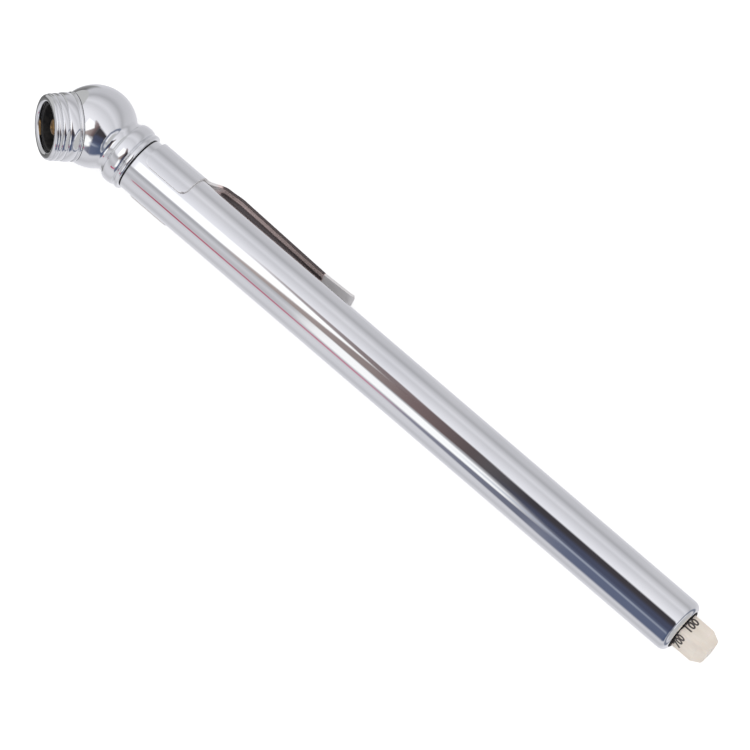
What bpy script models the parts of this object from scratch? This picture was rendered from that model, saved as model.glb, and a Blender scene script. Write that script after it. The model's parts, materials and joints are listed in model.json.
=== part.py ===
"""Pencil tire pressure gauge: angled ball head, plated tube, pocket clip and square indicator bar.

Gauge frame, carried by the empty "gauge": +X runs along the tube from the head to the bar, x = 0 is
the seam between head and tube, and the mouth is bent towards -Y. The empty then lays the gauge on
the floor (z = 0), where it rests on its ball, on the end of its tube and on a corner of its clip.
Metres, +Z up. The origin is the middle of the bounding box's base.
"""

import math

import bmesh
import bpy
from mathutils import Matrix, Vector

MM = 0.001

# Fineness of round shapes
RING_SEGMENTS = 32
INNER_SEGMENTS = 24
PIN_SEGMENTS = 16
HOLE_SEGMENTS = 8
BALL_STEPS = 12
BEAD_STEPS = 6
ARC_STEPS = 4
SECTION_SIDES = 7
MERGE_DISTANCE = 1e-8
SHARP_ANGLE = math.radians(35.0)

# Clearances
SEAT_GAP = 0.05 * MM
PRESS_GAP = 0.05 * MM
RUNNING_GAP = 0.06 * MM
BAR_GAP = 0.08 * MM

# Tube
TUBE_RADIUS = 5.10 * MM
TUBE_WALL = 0.50 * MM
TUBE_LENGTH = 124.75 * MM
END_ROLL_LENGTH = 1.40 * MM

# Ball head, neck and spigot
BALL_RADIUS = 7.40 * MM
BEND_ANGLE = math.radians(52.6)
NECK_PROUD = 0.05 * MM
NECK_LENGTH = 0.69 * MM
FLANGE_STANDS_PROUD = 0.85 * MM
FLANGE_LENGTH = 2.60 * MM
FLANGE_TO_SEAM = 1.20 * MM
RIM_RING_LENGTH = 0.90 * MM
BEAD_FOOT_PROUD = 0.40 * MM
RIM_RING_PROUD = 0.62 * MM
SPIGOT_LENGTH = 8.00 * MM
SPIGOT_CHAMFER = 0.40 * MM
AIR_PASSAGE_RADIUS = 1.30 * MM
AIR_PASSAGE_STEP = 0.03 * MM
O_RING_THICKNESS = 0.84 * MM
O_RING_FROM_SEAM = 4.40 * MM
O_RING_GROOVE_LENGTH = 1.50 * MM
GASKET_THICKNESS = 0.20 * MM
GASKET_SINK = 0.05 * MM

# Mouth: positions are distances from the ball's centre along the mouth's axis
MOUTH_RADIUS = 4.45 * MM
LIP_WALL = 1.30 * MM
LIP_THICKNESS = 0.45 * MM
BOSS_OUTSIDE_MOUTH = 1.00 * MM
BOSS_HEIGHT = 1.00 * MM
BOSS_WALL = 0.65 * MM
FACE_LEDGE = 0.71 * MM
CARRIER_INSIDE_MOUTH = 0.65 * MM
CARRIER_THICKNESS = 0.90 * MM
CARRIER_LEDGE = 0.70 * MM
CARRIER_AIR_HOLES = 4
CARRIER_AIR_HOLE_RADIUS = 0.45 * MM
BACKING_WASHER_THICKNESS = 0.45 * MM
AIR_CHAMBER_DEPTH = 0.70 * MM
SEAL_WALL = 0.45 * MM
SEAL_FLOOR = 0.90 * MM
SEAL_HOLE_CLEARANCE = 0.10 * MM
SEAL_BELOW_LIP = 0.93 * MM
PIN_RADIUS = 1.00 * MM
PIN_HEAD_PROUD = 0.40 * MM
PIN_HEAD_LENGTH = 1.20 * MM
PIN_DOME_LENGTH = 0.55 * MM
PIN_BELOW_LIP = 1.15 * MM
PIN_COLLAR_PROUD = 0.45 * MM
PIN_COLLAR_LENGTH = 0.35 * MM
# Ribs of the collar, from its back: length, and how far foot and crown stand out from LIP_RADIUS
COLLAR_RIBS = (
    (0.57 * MM, 0.22 * MM, 0.40 * MM),
    (1.98 * MM, 0.06 * MM, 0.34 * MM),
    (1.21 * MM, -0.04 * MM, 0.20 * MM),
    (0.81 * MM, -0.06 * MM, 0.14 * MM),
)
LIP_VALLEY_PROUD = -0.16 * MM
LIP_VALLEY_LENGTH = 0.16 * MM

# Piston: positions are distances from the seam
SPIGOT_TO_PISTON = 0.80 * MM
SCREW_HEAD_RADIUS = 1.80 * MM
SCREW_HEAD_LENGTH = 1.00 * MM
SCREW_RADIUS = 0.90 * MM
SCREW_LENGTH = 4.60 * MM
RETAINER_TO_CUP = 1.00 * MM
RETAINER_THICKNESS = 0.50 * MM
CUP_FLOOR = 1.00 * MM
CUP_WALL = 0.65 * MM
CUP_LIP_LENGTH = 1.50 * MM
PISTON_LENGTH = 4.80 * MM
PISTON_GROOVE_DEPTH = 0.64 * MM
PISTON_LAND = 1.20 * MM
SPRING_SEAT_THICKNESS = 0.40 * MM

# Spring and bar
SPRING_TO_TUBE = 0.30 * MM
SPRING_TO_BAR = 0.32 * MM
SPRING_COILS = 28
SPRING_CLOSED_COILS = 2
SPRING_CLOSED_PITCH = 1.10
SPRING_POINTS_PER_COIL = 8
STOP_WASHER_THICKNESS = 0.50 * MM
WASHER_HOLE_CLEARANCE = 0.15 * MM
BAR_SIDE = 4.85 * MM
BAR_CORNER_RADIUS = 0.35 * MM
BAR_CORNER_STEPS = 2
BAR_PROTRUDES = 6.10 * MM
BAR_TIP_LENGTH = 1.80 * MM
BAR_TIP_DEPTH = 0.60 * MM
BUSHING_LENGTH = 8.00 * MM
BUSHING_NOSE_PROUD = 0.15 * MM
BUSHING_NOSE_WALL = 0.23 * MM
LEAF_POCKET_LENGTH = 4.00 * MM
LEAF_POCKET_WIDTH = 2.20 * MM
LEAF_POCKET_DEPTH = 0.90 * MM
LEAF_THICKNESS = 0.15 * MM
LEAF_STEPS = 8

# Pocket clip: the rises are those of the arm's outer face above the band's
CLIP_SHEET = 0.50 * MM
BAND_FROM_SEAM = 1.50 * MM
BAND_LENGTH = 9.30 * MM
BAND_HALF_ANGLE = math.radians(121.0)
BAND_CORNER_RADIUS = 1.40 * MM
BAND_STEPS = 36
ARM_HALF_WIDTH = 2.60 * MM
ARM_LENGTH = 33.20 * MM
ARM_RISE_LENGTH = 4.20 * MM
ARM_SHOULDER_RISE = 1.06 * MM
ARM_CROWN_LENGTH = 3.00 * MM
ARM_PEAK_RISE = 1.35 * MM
ARM_CREASE_FROM_TIP = 6.40 * MM
ARM_CREASE_RISE = 0.74 * MM
ARM_TIP_RISE = 1.00 * MM
ARM_LIP_LENGTH = 1.10 * MM
ARM_LIP_RISE = 0.45 * MM
ARM_RISE_STEPS = 7
ARM_COLUMNS = 6

# Sizes that follow from those above
TUBE_BORE_RADIUS = TUBE_RADIUS - TUBE_WALL
TUBE_START = SEAT_GAP + GASKET_THICKNESS / 2
TUBE_END = TUBE_START + TUBE_LENGTH
HEAD_FACE = -TUBE_START
NECK_RADIUS = TUBE_RADIUS + NECK_PROUD
BALL_TO_NECK = math.sqrt(BALL_RADIUS**2 - NECK_RADIUS**2)
BALL_TO_SEAM = BALL_TO_NECK + NECK_LENGTH + BEAD_FOOT_PROUD + FLANGE_LENGTH + FLANGE_TO_SEAM
BALL_CENTRE = Vector((-BALL_TO_SEAM, 0.0, 0.0))
SPIGOT_RADIUS = TUBE_BORE_RADIUS - PRESS_GAP
BOSS_RADIUS = MOUTH_RADIUS + BOSS_OUTSIDE_MOUTH
FACE_FROM_BALL = math.sqrt(BALL_RADIUS**2 - (BOSS_RADIUS + FACE_LEDGE) ** 2)
LIP_RADIUS = MOUTH_RADIUS + LIP_WALL
LIP_FOOT = FACE_FROM_BALL + SEAT_GAP + sum(length for length, _, _ in COLLAR_RIBS) + LIP_VALLEY_LENGTH
LIP_FROM_BALL = LIP_FOOT + LIP_THICKNESS
CARRIER_RADIUS = MOUTH_RADIUS - CARRIER_INSIDE_MOUTH
PIN_HEAD_RADIUS = PIN_RADIUS + PIN_HEAD_PROUD
PIN_COLLAR_RADIUS = PIN_RADIUS + PIN_COLLAR_PROUD
CARRIER_AIR_CIRCLE = (PIN_RADIUS + CARRIER_RADIUS) / 2
SEAL_HOLE_RADIUS = PIN_COLLAR_RADIUS + SEAL_HOLE_CLEARANCE
SEAL_FLANGE_RADIUS = BOSS_RADIUS - BOSS_WALL - SEAT_GAP
SEAL_BORE_RADIUS = MOUTH_RADIUS - PRESS_GAP - SEAL_WALL
SEAL_BASE = FACE_FROM_BALL + SEAT_GAP
WASHER_TOP = FACE_FROM_BALL - SEAT_GAP
CARRIER_TOP = WASHER_TOP - BACKING_WASHER_THICKNESS - SEAT_GAP
CARRIER_BASE = CARRIER_TOP - CARRIER_THICKNESS
CARRIER_SEAT = CARRIER_BASE - SEAT_GAP
PISTON_RADIUS = TUBE_BORE_RADIUS - RUNNING_GAP
PISTON_WAIST_RADIUS = PISTON_RADIUS - PISTON_GROOVE_DEPTH
RETAINER_RADIUS = PISTON_RADIUS - CUP_WALL - RETAINER_TO_CUP
SCREW_START = SPIGOT_LENGTH + SPIGOT_TO_PISTON
RETAINER_START = SCREW_START + SCREW_HEAD_LENGTH + SEAT_GAP
CUP_FLOOR_START = RETAINER_START + RETAINER_THICKNESS + SEAT_GAP
PISTON_START = CUP_FLOOR_START + CUP_FLOOR + SEAT_GAP
PISTON_END = PISTON_START + PISTON_LENGTH
SPRING_SEAT_START = PISTON_END + SEAT_GAP
SPRING_START = SPRING_SEAT_START + SPRING_SEAT_THICKNESS + SEAT_GAP
BAR_START = PISTON_END + SEAT_GAP
BAR_END = TUBE_END + BAR_PROTRUDES
BAR_HALF = BAR_SIDE / 2
BAR_CORNER_REACH = (BAR_HALF - BAR_CORNER_RADIUS) * math.sqrt(2) + BAR_CORNER_RADIUS
BAR_HOLE_HALF = BAR_HALF + BAR_GAP
BUSHING_NOSE_RADIUS = BAR_HOLE_HALF * math.sqrt(2) + BUSHING_NOSE_WALL
END_OPENING_RADIUS = BUSHING_NOSE_RADIUS + BAR_GAP
SPRING_RADIUS = TUBE_BORE_RADIUS - SPRING_TO_TUBE
SPRING_WIRE_RADIUS = (SPRING_RADIUS - BAR_CORNER_REACH - SPRING_TO_BAR) / 2
WASHER_HOLE_RADIUS = BAR_CORNER_REACH + WASHER_HOLE_CLEARANCE
BUSHING_START = TUBE_END - BUSHING_LENGTH
STOP_WASHER_START = BUSHING_START - SEAT_GAP - STOP_WASHER_THICKNESS
SPRING_END = STOP_WASHER_START - SEAT_GAP
BAND_END = BAND_FROM_SEAM + BAND_LENGTH
ARM_ROOT = BAND_END + SEAT_GAP
BAND_INNER_RADIUS = TUBE_RADIUS + SEAT_GAP
BAND_OUTER_RADIUS = BAND_INNER_RADIUS + CLIP_SHEET


# ---------------------------------------------------------------- helpers


def finish(name, color, roughness, metallic):
    """A material with one Principled shader."""
    made = bpy.data.materials.new(name)
    made.use_nodes = True
    shader = made.node_tree.nodes["Principled BSDF"]
    shader.inputs["Base Color"].default_value = (*color, 1.0)
    shader.inputs["Roughness"].default_value = roughness
    shader.inputs["Metallic"].default_value = metallic
    return made


def empty(name, parent=None, location=(0.0, 0.0, 0.0), rotation=(0.0, 0.0, 0.0)):
    """An empty that carries pieces built in its own frame."""
    made = bpy.data.objects.new(name, None)
    bpy.context.scene.collection.objects.link(made)
    made.parent = parent
    made.location = location
    made.rotation_euler = rotation
    return made


def place(name, bm, surface, parent):
    """Turns a bmesh into a named, smooth-shaded object under its parent."""
    bmesh.ops.remove_doubles(bm, verts=bm.verts, dist=MERGE_DISTANCE)
    bmesh.ops.recalc_face_normals(bm, faces=bm.faces)
    mesh = bpy.data.meshes.new(name)
    bm.to_mesh(mesh)
    bm.free()
    mesh.shade_smooth()
    mesh.set_sharp_from_angle(angle=SHARP_ANGLE)
    if surface is not None:
        mesh.materials.append(surface)
    made = bpy.data.objects.new(name, mesh)
    bpy.context.scene.collection.objects.link(made)
    made.parent = parent
    return made


def arc(centre, along, across, start, stop, steps=ARC_STEPS):
    """Points of an elliptic arc in a section, at angles in degrees counted from the +along side."""
    angles = [math.radians(start + (stop - start) * i / steps) for i in range(steps + 1)]
    return [(centre[0] + along * math.cos(a), centre[1] + across * math.sin(a)) for a in angles]


def turned(name, outline, surface, parent, segments=RING_SEGMENTS):
    """A solid turned about the parent's X axis from (along, radius) points.

    An outline that starts and ends on the axis is open there; any other outline is a closed ring.
    """
    bm = bmesh.new()
    ring = [bm.verts.new((along, 0.0, radius)) for along, radius in outline]
    edges = [bm.edges.new(pair) for pair in zip(ring, ring[1:])]
    if outline[0][1] > 0.0:
        edges.append(bm.edges.new((ring[-1], ring[0])))
    bmesh.ops.spin(
        bm,
        geom=ring + edges,
        cent=(0.0, 0.0, 0.0),
        axis=(1.0, 0.0, 0.0),
        angle=2.0 * math.pi,
        steps=segments,
        use_merge=True,
    )
    return place(name, bm, surface, parent)


def swept(name, sections, surface, parent):
    """A solid through a row of sections, each a loop of points with the same count."""
    bm = bmesh.new()
    loops = [[bm.verts.new(point) for point in section] for section in sections]
    count = len(loops[0])
    for near, far in zip(loops, loops[1:]):
        for i in range(count):
            j = (i + 1) % count
            bm.faces.new((near[i], near[j], far[j], far[i]))
    bm.faces.new(loops[0])
    bm.faces.new(loops[-1])
    return place(name, bm, surface, parent)


def cut(body, *cutters):
    """Subtracts the cutters from a body and keeps them as hidden guides."""
    for cutter in cutters:
        cutter.hide_render = True
        cutter.display_type = "WIRE"
        modifier = body.modifiers.new("cut_" + cutter.name, "BOOLEAN")
        modifier.operation = "DIFFERENCE"
        modifier.solver = "EXACT"
        modifier.object = cutter


def block(name, low, high, surface, parent):
    """A rectangular solid between two corners."""
    loops = [
        [(x, low[1], low[2]), (x, high[1], low[2]), (x, high[1], high[2]), (x, low[1], high[2])]
        for x in (low[0], high[0])
    ]
    return swept(name, loops, surface, parent)


def ring(name, start, length, inner, outer, surface, parent, segments=RING_SEGMENTS):
    """A flat washer or plain bush about the parent's X axis."""
    outline = [(start, inner), (start + length, inner), (start + length, outer), (start, outer)]
    return turned(name, outline, surface, parent, segments)


def ring_of_section(name, along, mean_radius, thickness, surface, parent):
    """An O-ring: a round section turned about the parent's X axis."""
    last = 360.0 * (SECTION_SIDES - 1) / SECTION_SIDES
    outline = arc((along, mean_radius), thickness / 2, thickness / 2, 0.0, last, SECTION_SIDES - 1)
    return turned(name, outline, surface, parent, INNER_SEGMENTS)


# ---------------------------------------------------------------- where the gauge lies


def resting_pose():
    """(roll, pitch) that set ball, tube end and clip on the floor.

    The ball is wider than the tube, so the tube dips by the pitch towards its end. The roll then
    turns the clip down about the tube until the first corner of its arm meets the floor.
    """
    tube_contact = TUBE_END - END_ROLL_LENGTH + BALL_TO_SEAM
    pitch = math.asin((BALL_RADIUS - TUBE_RADIUS) / tube_contact)
    elevations = []
    for along, height in arm_path():
        corner = Vector((height + CLIP_SHEET, ARM_HALF_WIDTH))
        axis_height = BALL_RADIUS - (ARM_ROOT + along + BALL_TO_SEAM) * math.tan(pitch)
        if corner.length > axis_height:
            lean = math.atan2(corner.y, corner.x)
            elevations.append(lean - math.asin(axis_height / corner.length))
    return max(elevations), pitch


def stand_on_origin(gauge, pieces):
    """Shifts the gauge so that its bounding box's base is centred on the origin."""
    bpy.context.view_layer.update()
    graph = bpy.context.evaluated_depsgraph_get()
    points = []
    for piece in pieces:
        evaluated = piece.evaluated_get(graph)
        mesh = evaluated.to_mesh()
        points += [evaluated.matrix_world @ vertex.co for vertex in mesh.vertices]
        evaluated.to_mesh_clear()
    low = [min(point[i] for point in points) for i in range(3)]
    high = [max(point[i] for point in points) for i in range(3)]
    gauge.location -= Vector(((low[0] + high[0]) / 2, (low[1] + high[1]) / 2, low[2]))


# ---------------------------------------------------------------- head and mouth


def head_outline():
    """Section of ball, neck, flange and spigot, with the air passage bored from the spigot's end."""
    neck_angle = math.degrees(math.asin(NECK_RADIUS / BALL_RADIUS))
    outline = arc((-BALL_TO_SEAM, 0.0), BALL_RADIUS, BALL_RADIUS, 180.0, neck_angle, BALL_STEPS)
    outline[0] = (-BALL_TO_SEAM - BALL_RADIUS, 0.0)
    foot = TUBE_RADIUS + BEAD_FOOT_PROUD
    flange_centre = -FLANGE_TO_SEAM - FLANGE_LENGTH / 2
    outline.append((flange_centre - FLANGE_LENGTH / 2 - BEAD_FOOT_PROUD, NECK_RADIUS))
    crown = TUBE_RADIUS + FLANGE_STANDS_PROUD - foot
    outline += arc((flange_centre, foot), FLANGE_LENGTH / 2, crown, 180.0, 0.0, BEAD_STEPS)
    rim_crown = TUBE_RADIUS + RIM_RING_PROUD - foot
    rim_centre = HEAD_FACE - RIM_RING_LENGTH / 2
    outline += arc((rim_centre, foot), RIM_RING_LENGTH / 2, rim_crown, 180.0, 0.0)
    groove_half = O_RING_GROOVE_LENGTH / 2
    groove_floor = SPIGOT_RADIUS - O_RING_THICKNESS
    outline += [
        (HEAD_FACE, SPIGOT_RADIUS),
        (O_RING_FROM_SEAM - groove_half, SPIGOT_RADIUS),
        (O_RING_FROM_SEAM - groove_half, groove_floor),
        (O_RING_FROM_SEAM + groove_half, groove_floor),
        (O_RING_FROM_SEAM + groove_half, SPIGOT_RADIUS),
        (SPIGOT_LENGTH - SPIGOT_CHAMFER, SPIGOT_RADIUS),
        (SPIGOT_LENGTH, SPIGOT_RADIUS - SPIGOT_CHAMFER),
        (SPIGOT_LENGTH, AIR_PASSAGE_RADIUS),
        (-BALL_TO_SEAM, AIR_PASSAGE_RADIUS),
        (-BALL_TO_SEAM, 0.0),
    ]
    return outline


def mouth_cut_outline():
    """Everything taken off the ball from the mouth's side: passage, chamber, seats and boss."""
    boss_top = FACE_FROM_BALL + BOSS_HEIGHT
    passage_radius = AIR_PASSAGE_RADIUS - AIR_PASSAGE_STEP
    chamber_radius = CARRIER_RADIUS - CARRIER_LEDGE
    seat_radius = CARRIER_RADIUS + SEAT_GAP
    outside = 2.0 * BALL_RADIUS
    return [
        (-AIR_PASSAGE_RADIUS / 2, 0.0),
        (-AIR_PASSAGE_RADIUS / 2, passage_radius),
        (CARRIER_SEAT - AIR_CHAMBER_DEPTH, passage_radius),
        (CARRIER_SEAT - AIR_CHAMBER_DEPTH, chamber_radius),
        (CARRIER_SEAT, chamber_radius),
        (CARRIER_SEAT, seat_radius),
        (FACE_FROM_BALL, seat_radius),
        (FACE_FROM_BALL, BOSS_RADIUS - BOSS_WALL),
        (boss_top, BOSS_RADIUS - BOSS_WALL),
        (boss_top, BOSS_RADIUS),
        (FACE_FROM_BALL, BOSS_RADIUS),
        (FACE_FROM_BALL, outside),
        (outside, outside),
        (outside, 0.0),
    ]


def collar_outline():
    """Section of the ribbed nose: skirt over the boss, shoulder on the seal, lip, valley and ribs."""
    skirt_radius = BOSS_RADIUS + PRESS_GAP
    shoulder = FACE_FROM_BALL + BOSS_HEIGHT + SEAT_GAP
    lip_middle = (MOUTH_RADIUS + LIP_RADIUS) / 2
    lip_half = (LIP_RADIUS - MOUTH_RADIUS) / 2
    start = FACE_FROM_BALL + SEAT_GAP
    outline = [(start, skirt_radius), (shoulder, skirt_radius), (shoulder, MOUTH_RADIUS)]
    outline += arc((LIP_FOOT, lip_middle), LIP_THICKNESS, lip_half, -90.0, 90.0, BEAD_STEPS)
    ribs = []
    for length, foot, crown in COLLAR_RIBS:
        half = length / 2
        ribs += arc((start + half, LIP_RADIUS + foot), half, crown - foot, 180.0, 0.0)
        start += length
    ribs[0] = (FACE_FROM_BALL + SEAT_GAP, ribs[1][1])
    return outline + [(start, LIP_RADIUS + LIP_VALLEY_PROUD)] + ribs[::-1]


def seal_outline():
    """Rubber cup: sleeve along the mouth, flange under the collar and floor round the pin."""
    top = LIP_FROM_BALL - SEAL_BELOW_LIP
    floor = SEAL_BASE + SEAL_FLOOR
    sleeve_outer = MOUTH_RADIUS - PRESS_GAP
    return [
        (SEAL_BASE, SEAL_HOLE_RADIUS),
        (floor, SEAL_HOLE_RADIUS),
        (floor, SEAL_BORE_RADIUS),
        (top, SEAL_BORE_RADIUS),
        (top, sleeve_outer),
        (floor, sleeve_outer),
        (floor, SEAL_FLANGE_RADIUS),
        (SEAL_BASE, SEAL_FLANGE_RADIUS),
    ]


def pin_outline():
    """Deflator pin: shank through the carrier, collar on it, and a domed head."""
    top = LIP_FROM_BALL - PIN_BELOW_LIP
    head_start = top - PIN_HEAD_LENGTH
    collar_start = CARRIER_TOP + SEAT_GAP
    outline = [
        (CARRIER_BASE, 0.0),
        (CARRIER_BASE, PIN_RADIUS),
        (collar_start, PIN_RADIUS),
        (collar_start, PIN_COLLAR_RADIUS),
        (collar_start + PIN_COLLAR_LENGTH, PIN_COLLAR_RADIUS),
        (collar_start + PIN_COLLAR_LENGTH, PIN_RADIUS),
        (head_start, PIN_RADIUS),
        (head_start, PIN_HEAD_RADIUS),
    ]
    outline += arc((top - PIN_DOME_LENGTH, 0.0), PIN_DOME_LENGTH, PIN_HEAD_RADIUS, 90.0, 0.0)
    outline[-1] = (top, 0.0)
    return outline


def make_head(gauge, mouth, looks):
    head = turned("head_body", head_outline(), looks["chrome"], gauge)
    cut(head, turned("mouth_cut", mouth_cut_outline(), None, mouth))
    turned("chuck_collar", collar_outline(), looks["chrome"], mouth)
    turned("valve_seal", seal_outline(), looks["rubber"], mouth, INNER_SEGMENTS)
    turned("deflator_pin", pin_outline(), looks["brass"], mouth, PIN_SEGMENTS)
    ring(
        "seal_backing_washer",
        CARRIER_TOP + SEAT_GAP,
        BACKING_WASHER_THICKNESS,
        CARRIER_RADIUS - CARRIER_LEDGE,
        CARRIER_RADIUS,
        looks["steel"],
        mouth,
        INNER_SEGMENTS,
    )
    make_carrier(mouth, looks)
    groove_floor = SPIGOT_RADIUS - O_RING_THICKNESS
    room = TUBE_BORE_RADIUS - groove_floor
    ring_of_section(
        "head_o_ring",
        O_RING_FROM_SEAM,
        groove_floor + room / 2,
        O_RING_THICKNESS,
        looks["rubber"],
        gauge,
    )
    ring(
        "head_gasket",
        HEAD_FACE + SEAT_GAP,
        GASKET_THICKNESS,
        SPIGOT_RADIUS + SEAT_GAP,
        TUBE_RADIUS - GASKET_SINK,
        looks["rubber"],
        gauge,
    )


def make_carrier(mouth, looks):
    """Disc with a hole for the pin and a circle of air holes."""
    carrier = ring(
        "pin_carrier",
        CARRIER_BASE,
        CARRIER_THICKNESS,
        PIN_RADIUS + PRESS_GAP,
        CARRIER_RADIUS,
        looks["brass"],
        mouth,
        INNER_SEGMENTS,
    )
    for i in range(CARRIER_AIR_HOLES):
        turn = 2.0 * math.pi * (i + 0.5) / CARRIER_AIR_HOLES
        offset = Vector((0.0, math.cos(turn), math.sin(turn))) * CARRIER_AIR_CIRCLE
        drill = empty(f"air_hole_axis_{i}", mouth, offset)
        outline = [
            (CARRIER_BASE - CARRIER_THICKNESS, 0.0),
            (CARRIER_BASE - CARRIER_THICKNESS, CARRIER_AIR_HOLE_RADIUS),
            (CARRIER_TOP + CARRIER_THICKNESS, CARRIER_AIR_HOLE_RADIUS),
            (CARRIER_TOP + CARRIER_THICKNESS, 0.0),
        ]
        cut(carrier, turned(f"air_hole_{i}", outline, None, drill, HOLE_SEGMENTS))


# ---------------------------------------------------------------- tube and bushing


def make_tube(gauge, looks):
    """Plated tube whose far end is rolled in round the bushing."""
    roll_start = TUBE_END - END_ROLL_LENGTH
    roll_centre = (roll_start, END_OPENING_RADIUS)
    outer_drop = TUBE_RADIUS - END_OPENING_RADIUS
    outline = [(TUBE_START, TUBE_BORE_RADIUS), (TUBE_START, TUBE_RADIUS)]
    outline += arc(roll_centre, END_ROLL_LENGTH, outer_drop, 90.0, 0.0)
    inner_length = END_ROLL_LENGTH - TUBE_WALL
    outline += arc(roll_centre, inner_length, outer_drop - TUBE_WALL, 0.0, 90.0)
    turned("body_tube", outline, looks["chrome"], gauge)


def make_bushing(gauge, looks):
    """Guide with a square hole, a nose through the tube's opening and a pocket for the leaf."""
    roll_start = TUBE_END - END_ROLL_LENGTH
    body_radius = TUBE_BORE_RADIUS - PRESS_GAP
    cone_end = roll_start + (END_ROLL_LENGTH - TUBE_WALL) / 2
    nose_end = TUBE_END + BUSHING_NOSE_PROUD
    hole = BAR_HOLE_HALF
    outline = [
        (BUSHING_START, hole / 2),
        (BUSHING_START, body_radius),
        (roll_start - SEAT_GAP, body_radius),
        (cone_end, BUSHING_NOSE_RADIUS),
        (nose_end, BUSHING_NOSE_RADIUS),
        (nose_end, hole / 2),
    ]
    bushing = turned("end_bushing", outline, looks["black_plastic"], gauge, INNER_SEGMENTS)
    square = block(
        "bar_hole", (BUSHING_START - hole, -hole, -hole), (nose_end + hole, hole, hole), None, gauge
    )
    pocket_start = BUSHING_START + (BUSHING_LENGTH - END_ROLL_LENGTH - LEAF_POCKET_LENGTH) / 2
    pocket = block(
        "leaf_pocket",
        (pocket_start, -LEAF_POCKET_WIDTH / 2, 0.0),
        (pocket_start + LEAF_POCKET_LENGTH, LEAF_POCKET_WIDTH / 2, hole + LEAF_POCKET_DEPTH),
        None,
        gauge,
    )
    cut(bushing, square, pocket)
    make_leaf(gauge, looks, pocket_start, hole + LEAF_POCKET_DEPTH)


def make_leaf(gauge, looks, pocket_start, pocket_top):
    """Bowed leaf between the pocket's roof and the bar."""
    half_width = LEAF_POCKET_WIDTH / 2 - SEAT_GAP
    start = pocket_start + SEAT_GAP
    length = LEAF_POCKET_LENGTH - 2 * SEAT_GAP
    top = pocket_top - SEAT_GAP
    dip = top - LEAF_THICKNESS - BAR_HALF - SEAT_GAP
    sections = []
    for i in range(LEAF_STEPS + 1):
        share = i / LEAF_STEPS
        z = top - dip * math.sin(math.pi * share) ** 2
        x = start + length * share
        sections.append(
            [
                (x, -half_width, z - LEAF_THICKNESS),
                (x, half_width, z - LEAF_THICKNESS),
                (x, half_width, z),
                (x, -half_width, z),
            ]
        )
    swept("friction_spring", sections, looks["steel"], gauge)


# ---------------------------------------------------------------- piston, spring and bar


def make_piston(piston, looks):
    """Piston group: body with two lands, rubber cup, retainer, screw and the spring's seat."""
    screw_end = SCREW_START + SCREW_HEAD_LENGTH + SCREW_LENGTH
    hole = SCREW_RADIUS + PRESS_GAP
    turned(
        "piston_screw",
        [
            (SCREW_START, 0.0),
            (SCREW_START, SCREW_HEAD_RADIUS),
            (SCREW_START + SCREW_HEAD_LENGTH, SCREW_HEAD_RADIUS),
            (SCREW_START + SCREW_HEAD_LENGTH, SCREW_RADIUS),
            (screw_end, SCREW_RADIUS),
            (screw_end, 0.0),
        ],
        looks["brass"],
        piston,
        PIN_SEGMENTS,
    )
    ring(
        "cup_retainer",
        RETAINER_START,
        RETAINER_THICKNESS,
        hole,
        RETAINER_RADIUS,
        looks["brass"],
        piston,
        INNER_SEGMENTS,
    )
    cup_inner = PISTON_RADIUS - CUP_WALL
    lip_start = CUP_FLOOR_START - CUP_LIP_LENGTH
    turned(
        "piston_cup",
        [
            (CUP_FLOOR_START, hole),
            (CUP_FLOOR_START, cup_inner),
            (lip_start, cup_inner + CUP_WALL / 2),
            (lip_start, PISTON_RADIUS),
            (CUP_FLOOR_START + CUP_FLOOR, PISTON_RADIUS),
            (CUP_FLOOR_START + CUP_FLOOR, hole),
        ],
        looks["rubber"],
        piston,
        INNER_SEGMENTS,
    )
    turned(
        "piston_body",
        [
            (screw_end + SEAT_GAP, 0.0),
            (screw_end + SEAT_GAP, hole),
            (PISTON_START, hole),
            (PISTON_START, PISTON_RADIUS),
            (PISTON_START + PISTON_LAND, PISTON_RADIUS),
            (PISTON_START + PISTON_LAND, PISTON_WAIST_RADIUS),
            (PISTON_END - PISTON_LAND, PISTON_WAIST_RADIUS),
            (PISTON_END - PISTON_LAND, PISTON_RADIUS),
            (PISTON_END, PISTON_RADIUS),
            (PISTON_END, 0.0),
        ],
        looks["red_plastic"],
        piston,
        INNER_SEGMENTS,
    )
    ring(
        "spring_seat_washer",
        SPRING_SEAT_START,
        SPRING_SEAT_THICKNESS,
        WASHER_HOLE_RADIUS,
        PISTON_RADIUS - RUNNING_GAP,
        looks["steel"],
        piston,
        INNER_SEGMENTS,
    )


def make_spring(gauge, looks):
    """Compression spring with its end coils laid flat on their seats."""
    mean = SPRING_RADIUS - SPRING_WIRE_RADIUS
    first = SPRING_START + SPRING_WIRE_RADIUS
    last = SPRING_END - SPRING_WIRE_RADIUS
    closed_rise = 2.0 * SPRING_WIRE_RADIUS * SPRING_CLOSED_PITCH
    open_coils = SPRING_COILS - SPRING_CLOSED_COILS
    open_rise = (last - first - SPRING_CLOSED_COILS * closed_rise) / open_coils
    points = []
    for i in range(SPRING_COILS * SPRING_POINTS_PER_COIL + 1):
        turns = i / SPRING_POINTS_PER_COIL
        opened = min(max(turns - SPRING_CLOSED_COILS / 2, 0.0), open_coils)
        closing = turns - opened
        x = first + opened * open_rise + closing * closed_rise
        angle = 2.0 * math.pi * turns
        points.append((x, mean * math.cos(angle), mean * math.sin(angle)))
    curve = bpy.data.curves.new("main_spring", "CURVE")
    curve.dimensions = "3D"
    curve.bevel_depth = SPRING_WIRE_RADIUS
    curve.bevel_resolution = 1
    curve.use_fill_caps = True
    spline = curve.splines.new("POLY")
    spline.points.add(len(points) - 1)
    for point, position in zip(spline.points, points):
        point.co = (*position, 1.0)
    curve.materials.append(looks["steel"])
    spring = bpy.data.objects.new("main_spring", curve)
    bpy.context.scene.collection.objects.link(spring)
    spring.parent = gauge


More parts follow.
